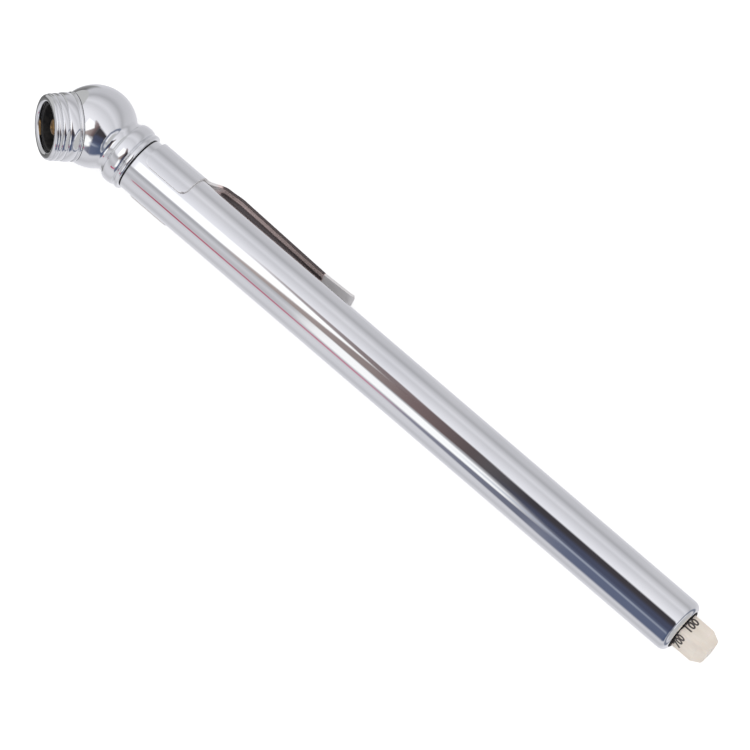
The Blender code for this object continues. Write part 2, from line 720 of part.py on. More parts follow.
def bar_section(x, inset):
    """Square with rounded corners at x, drawn in by the inset."""
    corner = BAR_HALF - BAR_CORNER_RADIUS - inset
    points = []
    for quarter, (y, z) in enumerate(((1, 1), (-1, 1), (-1, -1), (1, -1))):
        centre = Vector((y * corner, z * corner))
        rounding = arc(centre, BAR_CORNER_RADIUS, BAR_CORNER_RADIUS, 0.0, 90.0, BAR_CORNER_STEPS)
        turn = Matrix.Rotation(quarter * math.pi / 2, 2)
        points += [centre + turn @ (Vector(p) - centre) for p in rounding]
    return [(x, p[0], p[1]) for p in points]


def make_bar(bar, looks):
    """Square bar with a tapered tip."""
    sections = [
        bar_section(BAR_START, 0.0),
        bar_section(BAR_END - BAR_TIP_LENGTH, 0.0),
        bar_section(BAR_END, BAR_TIP_DEPTH),
    ]
    swept("indicator_bar", sections, looks["white_plastic"], bar)


# ---------------------------------------------------------------- pocket clip


def make_band(clip, looks):
    """Open band round the tube, its free edges rounded at the corners. The clip's frame has the
    arm's side at +Z."""
    sections = []
    for i in range(BAND_STEPS + 1):
        angle = BAND_HALF_ANGLE * (2.0 * i / BAND_STEPS - 1.0)
        from_edge = (BAND_HALF_ANGLE - abs(angle)) * BAND_INNER_RADIUS
        reach = max(BAND_CORNER_RADIUS - from_edge, 0.0)
        trim = BAND_CORNER_RADIUS - math.sqrt(BAND_CORNER_RADIUS**2 - reach**2)
        low, high = BAND_FROM_SEAM + trim, BAND_END - trim
        if high - low < CLIP_SHEET:
            low, high = BAND_FROM_SEAM + BAND_CORNER_RADIUS, BAND_END - BAND_CORNER_RADIUS
        across = Vector((0.0, math.sin(angle), math.cos(angle)))
        inner, outer = across * BAND_INNER_RADIUS, across * BAND_OUTER_RADIUS
        sections.append(
            [
                (low, inner.y, inner.z),
                (high, inner.y, inner.z),
                (high, outer.y, outer.z),
                (low, outer.y, outer.z),
            ]
        )
    swept("clip_band", sections, looks["chrome"], clip)


def eased(start, stop, steps):
    """Points of a smooth S from one (along, height) to another, the first of them left out."""
    shares = [i / steps for i in range(1, steps + 1)]
    eases = [share * share * (3.0 - 2.0 * share) for share in shares]
    return [
        (start[0] + (stop[0] - start[0]) * share, start[1] + (stop[1] - start[1]) * ease)
        for share, ease in zip(shares, eases)
    ]


def arm_path():
    """(along, inner height) down the arm: a quick rise to its shoulder and a slow one to its crown,
    a straight run closing on the tube as far as a crease, and a tip turned out at its very end."""
    root = (0.0, BAND_INNER_RADIUS)
    shoulder = (ARM_RISE_LENGTH, BAND_INNER_RADIUS + ARM_SHOULDER_RISE)
    crown = (ARM_RISE_LENGTH + ARM_CROWN_LENGTH, BAND_INNER_RADIUS + ARM_PEAK_RISE)
    crease = (ARM_LENGTH - ARM_CREASE_FROM_TIP, BAND_INNER_RADIUS + ARM_CREASE_RISE)
    lip = (ARM_LENGTH - ARM_LIP_LENGTH, BAND_INNER_RADIUS + ARM_TIP_RISE)
    path = [root, *eased(root, shoulder, ARM_RISE_STEPS), *eased(shoulder, crown, ARC_STEPS), crease, lip]
    for i in range(1, ARC_STEPS + 1):
        share = i / ARC_STEPS
        path.append((lip[0] + ARM_LIP_LENGTH * share, lip[1] + ARM_LIP_RISE * share**2))
    return path


def make_arm(hinge, looks):
    """Leaf of the clip, built from the hinge at its root, outer face."""
    path = arm_path()
    sections = []
    for i, (along, height) in enumerate(path):
        # The band's curve flattens out over the rise.
        flatness = min(along / ARM_RISE_LENGTH, 1.0)
        before, after = path[max(i - 1, 0)], path[min(i + 1, len(path) - 1)]
        slope = Vector((after[0] - before[0], after[1] - before[1])).normalized()
        inner, outer = [], []
        for column in range(ARM_COLUMNS + 1):
            y = ARM_HALF_WIDTH * (2.0 * column / ARM_COLUMNS - 1.0)
            for row, radius in ((inner, BAND_INNER_RADIUS), (outer, BAND_OUTER_RADIUS)):
                sag = (radius - math.sqrt(radius**2 - y**2)) * (1.0 - flatness)
                lift = 0.0 if row is inner else CLIP_SHEET
                x = along - slope.y * lift if i else along
                z = height - sag + lift * (slope.x if i else 1.0)
                row.append((x, y, z - BAND_OUTER_RADIUS))
        sections.append(inner + outer[::-1])
    swept("clip_arm", sections, looks["chrome"], hinge)


# ---------------------------------------------------------------- whole gauge


def main():
    for thing in list(bpy.data.objects):
        bpy.data.objects.remove(thing)
    looks = {
        "chrome": finish("chrome", (0.80, 0.81, 0.83), 0.08, 1.0),
        "brass": finish("brass", (0.72, 0.50, 0.22), 0.28, 1.0),
        "steel": finish("spring_steel", (0.52, 0.53, 0.55), 0.35, 1.0),
        "rubber": finish("black_rubber", (0.02, 0.02, 0.02), 0.65, 0.0),
        "black_plastic": finish("black_plastic", (0.03, 0.03, 0.035), 0.40, 0.0),
        "red_plastic": finish("red_plastic", (0.45, 0.06, 0.05), 0.45, 0.0),
        "white_plastic": finish("off_white_plastic", (0.80, 0.75, 0.68), 0.42, 0.0),
    }
    roll, pitch = resting_pose()
    gauge = empty("gauge", rotation=(0.0, pitch, 0.0))
    rolled = empty("rolled", gauge, rotation=(roll, 0.0, 0.0))
    mouth = empty("mouth_axis", rolled, BALL_CENTRE, (0.0, 0.0, math.pi + BEND_ANGLE))
    piston = empty("piston_axis", rolled)
    bar = empty("bar_axis", rolled)
    clip = empty("clip_axis", rolled, rotation=(-math.pi / 2, 0.0, 0.0))
    hinge = empty("clip_hinge", clip, (ARM_ROOT, 0.0, BAND_OUTER_RADIUS))

    make_head(rolled, mouth, looks)
    make_tube(rolled, looks)
    make_bushing(rolled, looks)
    make_piston(piston, looks)
    make_spring(rolled, looks)
    ring(
        "spring_stop_washer",
        STOP_WASHER_START,
        STOP_WASHER_THICKNESS,
        WASHER_HOLE_RADIUS,
        TUBE_BORE_RADIUS - PRESS_GAP,
        looks["steel"],
        rolled,
        INNER_SEGMENTS,
    )
    make_bar(bar, looks)
    make_band(clip, looks)
    make_arm(hinge, looks)

    pieces = [thing for thing in bpy.data.objects if thing.type != "EMPTY" and not thing.hide_render]
    stand_on_origin(gauge, pieces)


main()
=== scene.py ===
"""Looks of the pencil tire pressure gauge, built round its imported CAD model.

Frames, all in metres. Axis frame: +X runs along the tube from head to bar, x = 0 is the seam between
head and tube, the mouth is bent towards -Y. Mouth frame: +X points out of the mouth, origin at the
ball's centre. Clip frame: the axis frame turned so that the clip's arm is at +Z.
"""

import json
import math
from collections import namedtuple

import bmesh
import bpy
import numpy as np
from mathutils import Matrix, Vector


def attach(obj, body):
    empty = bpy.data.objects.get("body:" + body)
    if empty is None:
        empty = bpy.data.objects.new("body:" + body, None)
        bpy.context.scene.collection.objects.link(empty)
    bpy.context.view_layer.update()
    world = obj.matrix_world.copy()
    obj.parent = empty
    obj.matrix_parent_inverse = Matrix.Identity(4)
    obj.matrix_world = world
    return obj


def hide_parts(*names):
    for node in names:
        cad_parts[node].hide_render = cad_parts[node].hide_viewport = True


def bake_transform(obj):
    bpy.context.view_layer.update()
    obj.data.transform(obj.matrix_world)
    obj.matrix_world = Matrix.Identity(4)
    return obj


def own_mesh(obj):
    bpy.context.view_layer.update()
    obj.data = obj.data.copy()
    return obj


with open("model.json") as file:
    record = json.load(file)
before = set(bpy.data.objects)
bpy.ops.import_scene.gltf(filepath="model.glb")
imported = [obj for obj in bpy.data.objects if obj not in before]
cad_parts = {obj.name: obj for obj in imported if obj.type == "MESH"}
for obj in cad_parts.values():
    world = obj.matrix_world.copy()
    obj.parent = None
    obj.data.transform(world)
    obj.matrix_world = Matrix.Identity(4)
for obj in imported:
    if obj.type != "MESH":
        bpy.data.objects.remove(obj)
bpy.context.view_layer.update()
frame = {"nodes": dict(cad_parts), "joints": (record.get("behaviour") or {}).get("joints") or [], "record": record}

MM = 0.001

# Fineness of the shapes
ROUND_SEGMENTS = 144
SMALL_SEGMENTS = 72
BALL_STEPS = 48
END_ROLL_STEPS = 24
LIP_STEPS = 20
FLANGE_STEPS = 16
RIB_STEPS = 14
ARC_STEPS = 12
RIM_RING_STEPS = 8
BAR_CORNER_STEPS = 8
CORNER_STEPS = 6
FIGURE_STEPS = 4
LONGEST_EDGE = 2.0 * MM
SAME_PLACE = 0.00001 * MM
MOST_OF_EDGE = 0.49
SHARP_ANGLE = math.radians(35.0)
CLIP_SHARP_ANGLE = math.radians(50.0)

# Clearances that the pieces share with the CAD model
SEAT_GAP = 0.05 * MM
PRESS_GAP = 0.05 * MM
BAR_GAP = 0.08 * MM
CUT_BEYOND = 2.0 * MM

# Head
NECK_RADIUS = 5.15 * MM
NECK_FILLET = 1.10 * MM
FLANGE_LENGTH = 2.60 * MM
FLANGE_TO_SEAM = 1.20 * MM
FLANGE_PROUD = 0.85 * MM
BEAD_FOOT_PROUD = 0.40 * MM
RIM_RING_LENGTH = 0.90 * MM
RIM_RING_PROUD = 0.62 * MM
VALLEY_DEPTH = 0.16 * MM
VALLEY_SHIFT = 0.04 * MM
VALLEY_FILLET = 0.05 * MM
HEAD_FACE_TO_SEAM = 0.10 * MM
GASKET_EDGE = 0.05 * MM
SPIGOT_EDGE = 0.40 * MM
AIR_PASSAGE_RADIUS = 1.30 * MM
O_RING_FROM_SEAM = 4.40 * MM
O_RING_GROOVE_LENGTH = 1.50 * MM
O_RING_GROOVE_DEPTH = 0.84 * MM
CARRIER_SEAT_RADIUS = 3.85 * MM
CARRIER_LEDGE_RADIUS = 3.10 * MM
CARRIER_SEAT_DEPTH = 1.50 * MM
AIR_CHAMBER_DEPTH = 0.70 * MM

# Mouth
BOSS_RADIUS = 5.45 * MM
BOSS_HEIGHT = 1.00 * MM
BOSS_WALL = 0.65 * MM
LIP_RADIUS = 5.75 * MM
LIP_THICKNESS = 0.45 * MM

# Ribs from the ball to the lip: (length, foot and crown of the rib, both measured from LIP_RADIUS)
RIBS = (
    (0.57 * MM, 0.22 * MM, 0.40 * MM),
    (1.98 * MM, 0.06 * MM, 0.34 * MM),
    (1.21 * MM, -0.04 * MM, 0.20 * MM),
    (0.81 * MM, -0.06 * MM, 0.14 * MM),
)
LIP_VALLEY_PROUD = -0.16 * MM
GROOVE_FILLET = 0.07 * MM

# Seal
SEAL_FLOOR = 0.90 * MM
SEAL_WALL = 0.45 * MM
SEAL_OUTER_EDGE = 0.10 * MM
SEAL_INNER_EDGE = 0.20 * MM
SEAL_FLOOR_FILLET = 0.25 * MM

# Pin
PIN_RADIUS = 1.00 * MM
PIN_FILLET = 0.15 * MM
PIN_COLLAR_RADIUS = 1.45 * MM
PIN_COLLAR_LENGTH = 0.35 * MM
PIN_COLLAR_EDGE = 0.06 * MM
PIN_COLLAR_FILLET = 0.10 * MM
PIN_HEAD_LENGTH = 1.20 * MM
PIN_HEAD_EDGE = 0.12 * MM
PIN_DOME_LENGTH = 0.55 * MM
PIN_DOME_EDGE = 0.10 * MM
PIN_DOME_START, PIN_DOME_END = 80.0, 12.0
PIN_MARK_RADIUS = 0.18 * MM
PIN_MARK_RIM = 0.16 * MM
PIN_MARK_DEPTH = 0.20 * MM
PIN_MARK_EDGE = 0.05 * MM

# Tube and its end
TUBE_WALL = 0.50 * MM
TUBE_EDGE = 0.10 * MM
END_ROLL_LENGTH = 1.40 * MM
BUSHING_EDGE = 0.15 * MM
BUSHING_NOSE_EDGE = 0.10 * MM
BUSHING_NOSE_PROUD = 0.15 * MM
LEAF_POCKET_LENGTH = 4.00 * MM
LEAF_POCKET_WIDTH = 2.20 * MM
LEAF_POCKET_DEPTH = 0.90 * MM

# Bar
BAR_CORNER_RADIUS = 0.35 * MM
BAR_CORNER_GROWTH = 0.35
BAR_FOOT_EDGE = 0.10 * MM
BAR_FOOT_FLAT = 0.50 * MM
BAR_SHOULDER_FILLET = 0.45 * MM
BAR_TIP_LENGTH = 1.80 * MM
BAR_TIP_DEPTH = 0.60 * MM
BAR_TIP_EDGE = 0.40 * MM
BAR_TIP_FLAT = 1.00 * MM

# Printed scale: (face, step of the figures, step of the strokes, full value)
SCALE_FACES = (
    (Vector((0.0, 0.0, 1.0)), 10, 2, 100),
    (Vector((0.0, -1.0, 0.0)), 100, 20, 700),
)
PRINT_HEIGHT = 0.015 * MM
TOP_FIGURE_SIZE = 2.1 * MM
TOP_FIGURE_PAST_NOSE = 0.85 * MM
FIGURE_SIZE = 1.5 * MM
FIGURE_OFF_MIDDLE = 1.0 * MM
FIGURE_BOLDNESS = 0.035
LONG_STROKE = 1.6 * MM
SHORT_STROKE = 0.8 * MM
STROKE_FROM_EDGE = 0.5 * MM
STROKE_HALF_WIDTH = 0.06 * MM

# Clip
BAND_CORNER_RADIUS = 1.40 * MM
ARM_ROOT_FILLET = 1.00 * MM
ARM_TIP_CORNER = 0.50 * MM
ARM_RISE_LENGTH = 4.20 * MM
ARM_SHOULDER_RISE = 1.06 * MM
ARM_CROWN_LENGTH = 3.00 * MM
ARM_PEAK_RISE = 1.35 * MM
ARM_CREASE_FROM_TIP = 6.40 * MM
ARM_CREASE_RISE = 0.74 * MM
ARM_TIP_RISE = 1.00 * MM
ARM_LIP_LENGTH = 1.10 * MM
ARM_LIP_RISE = 0.45 * MM
SHEET_EDGE = 0.08 * MM
CLIP_CORNER_STEPS = 8
BAND_ROWS = 25
ARM_COLUMNS = 25
SIDE_COLUMNS = 14
ARM_ROW_LENGTH = 0.4 * MM

# Clip's inner face, painted reflection: a dark stretch of the arm stands in for the shade under the tube
# mirrored there, and a paler strip beside each of its edges for the bright surroundings mirrored there
DARK_REFLECTION_START, DARK_REFLECTION_START_FADE = 1.5 * MM, 2.0 * MM
DARK_REFLECTION_END_FADE = 0.4 * MM
PALE_REFLECTION_START, PALE_REFLECTION_START_FADE = 0.48, 0.16
PALE_REFLECTION_END_FADE = 0.06
PALE_REFLECTION_LEVEL = 0.40

# Spring
SPRING_WIRE_RADIUS = 0.345 * MM
SPRING_COILS = 28
CLOSED_PITCH = 2.2 * SPRING_WIRE_RADIUS
STEPS_PER_COIL = 24
WIRE_SIDES = 10

# View: the camera looks at the gauge from between its mouth's side and its upper side
VIEW_ROUND_TUBE = math.radians(51.84)
VIEW_OFF_SQUARE = math.radians(9.5)
VIEW_TILT = math.radians(40.6)
VIEW_LENS = 300.0
VIEW_WIDTH = 130.4 * MM
SEAM_TO_AIM = (41.04 * MM, -36.75 * MM)

# Light and floor
SURROUND_STRENGTH = 0.55
LAMP_POWER = 8.5
LAMP_SIZE = 1.6
LAMP_HEIGHT = 1.3
FLOOR_GLOW = 0.52
FLOOR_SIDE = 6.0
FLOOR_CELLS = 12

# Tent: a tube of light round the gauge. What stands at x is seen in the gauge at x + TENT_SHIFT mm
TENT_RADIUS = 160.0 * MM
TENT_FIRST, TENT_LAST = -220.0 * MM, 320.0 * MM
TENT_SHIFT = 27.0
TENT_TINT = (0.992, 0.990, 1.012)
TENT_TURNS = 720
TENT_ROWS = 108
CHROME_REFLECTANCE = 0.86
DISPLAY_GAMMA = 2.2


# ---------------------------------------------------------------- frames and measures


def points_of(node):
    """A CAD node's points at rest."""
    return np.array([vertex.co for vertex in frame["nodes"][node].data.vertices], float)


def middle(node):
    """Mean of a turned node's points, which lies on its axis."""
    return Vector(points_of(node).mean(axis=0))


def frame_at(origin, along, up):
    """A frame with X along and Z up, at the origin given."""
    placed = Matrix((along, up.cross(along), up)).transposed().to_4x4()
    placed.translation = origin
    return placed


def local_points(node, placed):
    inverse = np.array(placed.inverted())
    return points_of(node) @ inverse[:3, :3].T + inverse[:3, 3]


def span(node, placed):
    """(first, last, least radius, greatest radius) of a node along and about a frame's X axis."""
    local = local_points(node, placed)
    radii = np.hypot(local[:, 1], local[:, 2])
    return local[:, 0].min(), local[:, 0].max(), radii.min(), radii.max()


def named(rows, name):
    """The joint or mount with that name."""
    return next(row for row in rows if row["name"] == name)


def travel(joint):
    """How far a sliding joint goes."""
    return named(frame["joints"], joint)["range_m"][1]


def find_frames():
    """The axis, mouth and clip frames, and the distance from the ball's centre to the seam."""
    along = Vector(named(frame["joints"], "bar_slide")["axis"]).normalized()
    mouth_way = Vector(named(frame["record"]["mounts"], "valve_seat")["axis"]).normalized()
    bent_way = (mouth_way - along * mouth_way.dot(along)).normalized()
    up = along.cross(-bent_way)
    seam = middle("head_gasket")
    to_pin = middle("deflator_pin") - seam
    reach = to_pin.dot(bent_way) / mouth_way.dot(bent_way)
    ball = seam + along * (to_pin - mouth_way * reach).dot(along)
    to_arm = middle("clip_arm") - seam
    arm_way = (to_arm - along * to_arm.dot(along)).normalized()
    axis = frame_at(seam, along, up)
    mouth = frame_at(ball, mouth_way, up)
    return axis, mouth, frame_at(seam, along, arm_way), (seam - ball).length


# ---------------------------------------------------------------- mesh helpers


def eased(share):
    """A share from 0 to 1, with a soft start and end."""
    return share * share * (3.0 - 2.0 * share)


def limited(value):
    return min(max(value, 0.0), 1.0)


def arc(centre, along, across, start, stop, steps):
    """(along, radius, fillet) points of an elliptic arc, at angles in degrees from the +along side."""
    angles = [math.radians(start + (stop - start) * i / steps) for i in range(steps + 1)]
    return [
        (centre[0] + along * math.cos(a), centre[1] + across * math.sin(a), 0.0) for a in angles
    ]


def corner_arc(before, here, after, fillet):
    """Points of the arc that rounds the corner at here."""
    back, ahead = before - here, after - here
    half = back.angle(ahead) / 2
    reach = min(fillet / math.tan(half), back.length * MOST_OF_EDGE, ahead.length * MOST_OF_EDGE)
    start = here + back.normalized() * reach
    centre = here + (back.normalized() + ahead.normalized()).normalized() * (reach / math.cos(half))
    arm = start - centre
    side = math.copysign(1.0, ahead.x * back.y - ahead.y * back.x)
    turns = [side * (math.pi - 2.0 * half) * i / CORNER_STEPS for i in range(CORNER_STEPS + 1)]
    return [centre + Matrix.Rotation(turn, 2) @ arm for turn in turns]


def rounded(outline, ring):
    """The outline's (along, radius) points with every fillet drawn and long runs divided."""
    flat = [Vector(point[:2]) for point in outline]
    points = []
    for i, (_, _, fillet) in enumerate(outline):
        inner = ring or 0 < i < len(outline) - 1
        if fillet > 0.0 and inner:
            points += corner_arc(flat[i - 1], flat[i], flat[(i + 1) % len(flat)], fillet)
        else:
            points.append(flat[i])
    divided = []
    for point, after in zip(points, points[1:] + points[:1] if ring else points[1:]):
        parts = max(1, math.ceil((after - point).length / LONGEST_EDGE))
        divided += [point.lerp(after, i / parts) for i in range(parts)]
    return divided if ring else divided + [points[-1]]


def make_piece(name, bm, placed, *surfaces, sharp=SHARP_ANGLE):
    """A smooth-shaded object from a bmesh whose points are in the frame given."""
    bmesh.ops.transform(bm, matrix=placed, verts=bm.verts)
    bmesh.ops.remove_doubles(bm, verts=bm.verts, dist=SAME_PLACE)
    bmesh.ops.recalc_face_normals(bm, faces=bm.faces)
    mesh = bpy.data.meshes.new(name)
    bm.to_mesh(mesh)
    bm.free()
    mesh.shade_smooth()
    mesh.set_sharp_from_angle(angle=sharp)
    for surface in surfaces:
        mesh.materials.append(surface)
    made = bpy.data.objects.new(name, mesh)
    bpy.context.scene.collection.objects.link(made)
    return made


def turned(name, outline, placed, *surfaces, segments=ROUND_SEGMENTS):
    """A solid turned about the frame's X axis. Its outline closes on itself, or starts and ends there."""
    ring = outline[0][1] > 0.0
    bm = bmesh.new()
    rows = []
    for along, radius in rounded(outline, ring):
        if radius < SAME_PLACE:
            rows.append([bm.verts.new((along, 0.0, 0.0))] * segments)
            continue
        angles = [2.0 * math.pi * i / segments for i in range(segments)]
        rows.append([bm.verts.new((along, radius * math.cos(a), radius * math.sin(a))) for a in angles])
    for near, far in zip(rows, rows[1:] + rows[:1] if ring else rows[1:]):
        for i in range(segments):
            j = (i + 1) % segments
            corners = list(dict.fromkeys((near[i], near[j], far[j], far[i])))
            bm.faces.new(corners)
    return make_piece(name, bm, placed, *surfaces)


def lofted(bm, loops):
    """Faces through a row of loops with the same count, with a cap on each end."""
    rows = [[bm.verts.new(point) for point in loop] for loop in loops]
    count = len(rows[0])
    for near, far in zip(rows, rows[1:]):
        for i in range(count):
            j = (i + 1) % count
            bm.faces.new((near[i], near[j], far[j], far[i]))
    bm.faces.new(rows[0])
    bm.faces.new(rows[-1])


def settled(piece):
    """Applies the piece's modifiers to its mesh."""
    bpy.context.view_layer.update()
    graph = bpy.context.evaluated_depsgraph_get()
    mesh = bpy.data.meshes.new_from_object(piece.evaluated_get(graph))
    piece.modifiers.clear()
    piece.data = mesh


def carve(piece, cutter):
    """Subtracts the cutter from the piece and removes the cutter."""
    modifier = piece.modifiers.new("carve", "BOOLEAN")
    modifier.operation = "DIFFERENCE"
    modifier.solver = "EXACT"
    modifier.object = cutter
    settled(piece)
    bpy.data.objects.remove(cutter)
    piece.data.shade_smooth()
    piece.data.set_sharp_from_angle(angle=SHARP_ANGLE)


# ---------------------------------------------------------------- surfaces


class Surface:
    """A Principled material and the few procedural nodes that the looks are built from."""

    def __init__(self, name, **sockets):
        self.material = bpy.data.materials.new(name)
        self.material.use_nodes = True
        self.tree = self.material.node_tree
        self.shader = self.tree.nodes["Principled BSDF"]
        self.place = self.tree.nodes.new("ShaderNodeTexCoord").outputs["Object"]
        for socket, value in sockets.items():
            self.shader.inputs[socket.replace("_", " ")].default_value = value

    def link(self, source, target):
        self.tree.links.new(source, target)

    def noise(self, size, detail=3.0, stretch=(1.0, 1.0, 1.0), distortion=0.0):
        """Noise with features of about that size, in metres, drawn out by the stretch."""
        mapping = self.tree.nodes.new("ShaderNodeMapping")
        mapping.inputs["Scale"].default_value = [1.0 / share for share in stretch]
        self.link(self.place, mapping.inputs["Vector"])
        made = self.tree.nodes.new("ShaderNodeTexNoise")
        made.inputs["Scale"].default_value = 1.0 / size
        made.inputs["Detail"].default_value = detail
        made.inputs["Distortion"].default_value = distortion
        self.link(mapping.outputs["Vector"], made.inputs["Vector"])
        return made.outputs[0]

    def attribute(self, name):
        made = self.tree.nodes.new("ShaderNodeAttribute")
        made.attribute_name = name
        return made.outputs["Fac"]

    def math(self, operation, first, second):
        made = self.tree.nodes.new("ShaderNodeMath")
        made.operation = operation
        for socket, value in zip(made.inputs, (first, second)):
            if isinstance(value, float):
                socket.default_value = value
            else:
                self.link(value, socket)
        return made.outputs[0]

    def between(self, value, low, high, from_low=0.3, from_high=0.7):
        """Spreads a value over the range from low to high. Noise lies mostly between 0.3 and 0.7."""
        made = self.tree.nodes.new("ShaderNodeMapRange")
        made.inputs["From Min"].default_value = from_low
        made.inputs["From Max"].default_value = from_high
        made.inputs["To Min"].default_value = low
        made.inputs["To Max"].default_value = high
        self.link(value, made.inputs["Value"])
        return made.outputs["Result"]

    def ramp(self, value, *stops):
        """Colours at (position, colour) stops."""
        made = self.tree.nodes.new("ShaderNodeValToRGB")
        elements = made.color_ramp.elements
        while len(elements) < len(stops):
            elements.new(0.5)
        for element, (position, color) in zip(elements, stops):
            element.position = position
            element.color = (*color, 1.0)
        self.link(value, made.inputs["Fac"])
        return made.outputs["Color"]

    def color(self, source):
        self.link(source, self.shader.inputs["Base Color"])

    def roughness(self, source):
        self.link(source, self.shader.inputs["Roughness"])

    def relief(self, *layers):
        """Stacks (height, distance in metres) bumps."""
        normal = None
        for height, distance in layers:
            made = self.tree.nodes.new("ShaderNodeBump")
            made.inputs["Distance"].default_value = distance
            self.link(height, made.inputs["Height"])
            if normal is not None:
                self.link(normal, made.inputs["Normal"])
            normal = made.outputs["Normal"]
        self.link(normal, self.shader.inputs["Normal"])


def chrome_look(name, waviness, wave_size, wave_detail):
    """Polished chrome plate: a slight haze, hairline scratches and a faint waviness."""
    look = Surface(name, Metallic=1.0)
    haze = look.noise(6.0 * MM, detail=4.0, stretch=(3.0, 1.0, 1.0))
    look.color(look.ramp(haze, (0.30, (0.82, 0.83, 0.85)), (0.70, (0.89, 0.895, 0.905))))
    smudge = look.noise(3.0 * MM, detail=5.0, stretch=(2.5, 1.0, 1.0), distortion=0.6)
    look.roughness(look.between(smudge, 0.035, 0.085))
    hairlines = look.noise(0.12 * MM, detail=2.0, stretch=(60.0, 1.0, 1.0))
    swell = look.noise(wave_size, detail=wave_detail, stretch=(1.6, 1.0, 1.0))
    look.relief((swell, waviness), (hairlines, 0.0006 * MM))
    return look.material


def clip_inner_look():
    """Inner face and edge of the clip: painted dark reflection of shade, with painted light reflections beside its
    edges and at the tip.
    """
    look = Surface("clip_inner_face", Metallic=0.6)
    blotch = look.noise(2.0 * MM, detail=4.0, stretch=(4.0, 1.0, 1.0))
    # The point attribute holds painted reflection, mixed with random blotches.
    reflection_and_blotch = look.math("ADD", look.attribute("painted_reflection"), look.between(blotch, -0.04, 0.04))
    # Dark stops are painted mirrored shade; the pink and light stops are painted mirrored light.
    look.color(
        look.ramp(
            reflection_and_blotch,
            (0.06, (0.11, 0.09, 0.09)),
            (0.20, (0.17, 0.135, 0.13)),
            (0.34, (0.82, 0.67, 0.64)),
            (0.45, (0.92, 0.76, 0.73)),
            (0.80, (0.86, 0.84, 0.83)),
        )
    )
    look.roughness(look.between(reflection_and_blotch, 0.22, 0.48, 0.30, 0.80))
    lines = look.noise(0.15 * MM, detail=2.0, stretch=(50.0, 1.0, 1.0))
    look.relief((lines, 0.0015 * MM))
    return look.material


def rubber_look():
    look = Surface("moulded_rubber", Specular_IOR_Level=0.35)
    dust = look.noise(0.8 * MM, detail=5.0)
    look.color(look.ramp(dust, (0.35, (0.010, 0.010, 0.011)), (0.75, (0.035, 0.032, 0.030))))
    look.roughness(look.between(dust, 0.48, 0.72))
    look.relief((look.noise(0.10 * MM, detail=3.0), 0.006 * MM))
    return look.material


def brass_look():
    """Turned brass with a little tarnish."""
    look = Surface("turned_brass", Metallic=1.0)
    tarnish = look.noise(1.2 * MM, detail=5.0, distortion=0.5)
    look.color(look.ramp(tarnish, (0.30, (0.20, 0.11, 0.04)), (0.65, (0.46, 0.29, 0.12))))
    look.roughness(look.between(tarnish, 0.38, 0.20))
    look.relief((look.noise(0.05 * MM, detail=2.0), 0.0015 * MM))
    return look.material


def steel_look():
    """Drawn spring steel with fine marks."""
    look = Surface("drawn_steel", Metallic=1.0)
    marks = look.noise(0.6 * MM, detail=5.0, stretch=(1.0, 3.0, 3.0))
    look.color(look.ramp(marks, (0.30, (0.40, 0.40, 0.41)), (0.70, (0.58, 0.58, 0.60))))
    look.roughness(look.between(marks, 0.28, 0.42))
    look.relief((look.noise(0.05 * MM, detail=2.0, stretch=(6.0, 1.0, 1.0)), 0.002 * MM))
    return look.material


def plastic_look(name, dark, light, rough, subsurface=0.0, gloss=0.5):
    """Moulded plastic with a faint cloudiness and a fine grain."""
    look = Surface(name, Subsurface_Weight=subsurface, Specular_IOR_Level=gloss)
    look.shader.inputs["Subsurface Radius"].default_value = (0.8 * MM, 0.6 * MM, 0.4 * MM)
    cloud = look.noise(1.6 * MM, detail=5.0, stretch=(2.0, 1.0, 1.0))
    look.color(look.ramp(cloud, (0.32, dark), (0.68, light)))
    look.roughness(look.between(cloud, rough - 0.06, rough + 0.06))
    look.relief((look.noise(0.06 * MM, detail=3.0), 0.0025 * MM))
    return look.material


def ink_look():
    """Printed scale, worn thin in places."""
    look = Surface("scale_ink")
    wear = look.noise(0.25 * MM, detail=4.0)
    look.color(look.ramp(wear, (0.35, (0.030, 0.026, 0.026)), (0.75, (0.16, 0.13, 0.12))))
    look.roughness(look.between(wear, 0.40, 0.60))
    return look.material


def make_looks():
    return {
        "chrome": chrome_look("polished_chrome", 0.010 * MM, 9.0 * MM, 1.0),
        "head_chrome": chrome_look("polished_head_chrome", 0.034 * MM, 3.4 * MM, 2.2),
        "clip_inner": clip_inner_look(),
        "rubber": rubber_look(),
        "brass": brass_look(),
        "steel": steel_look(),
        "red": plastic_look("red_plastic_grain", (0.38, 0.04, 0.035), (0.50, 0.07, 0.055), 0.42),
        "black": plastic_look(
            "black_plastic_grain", (0.006, 0.006, 0.007), (0.018, 0.018, 0.020), 0.55, gloss=0.08
        ),
        "white": plastic_look(
            "bar_plastic", (0.79, 0.71, 0.63), (0.87, 0.80, 0.72), 0.40, subsurface=0.15
        ),
        "ink": ink_look(),
    }


# ---------------------------------------------------------------- head and mouth


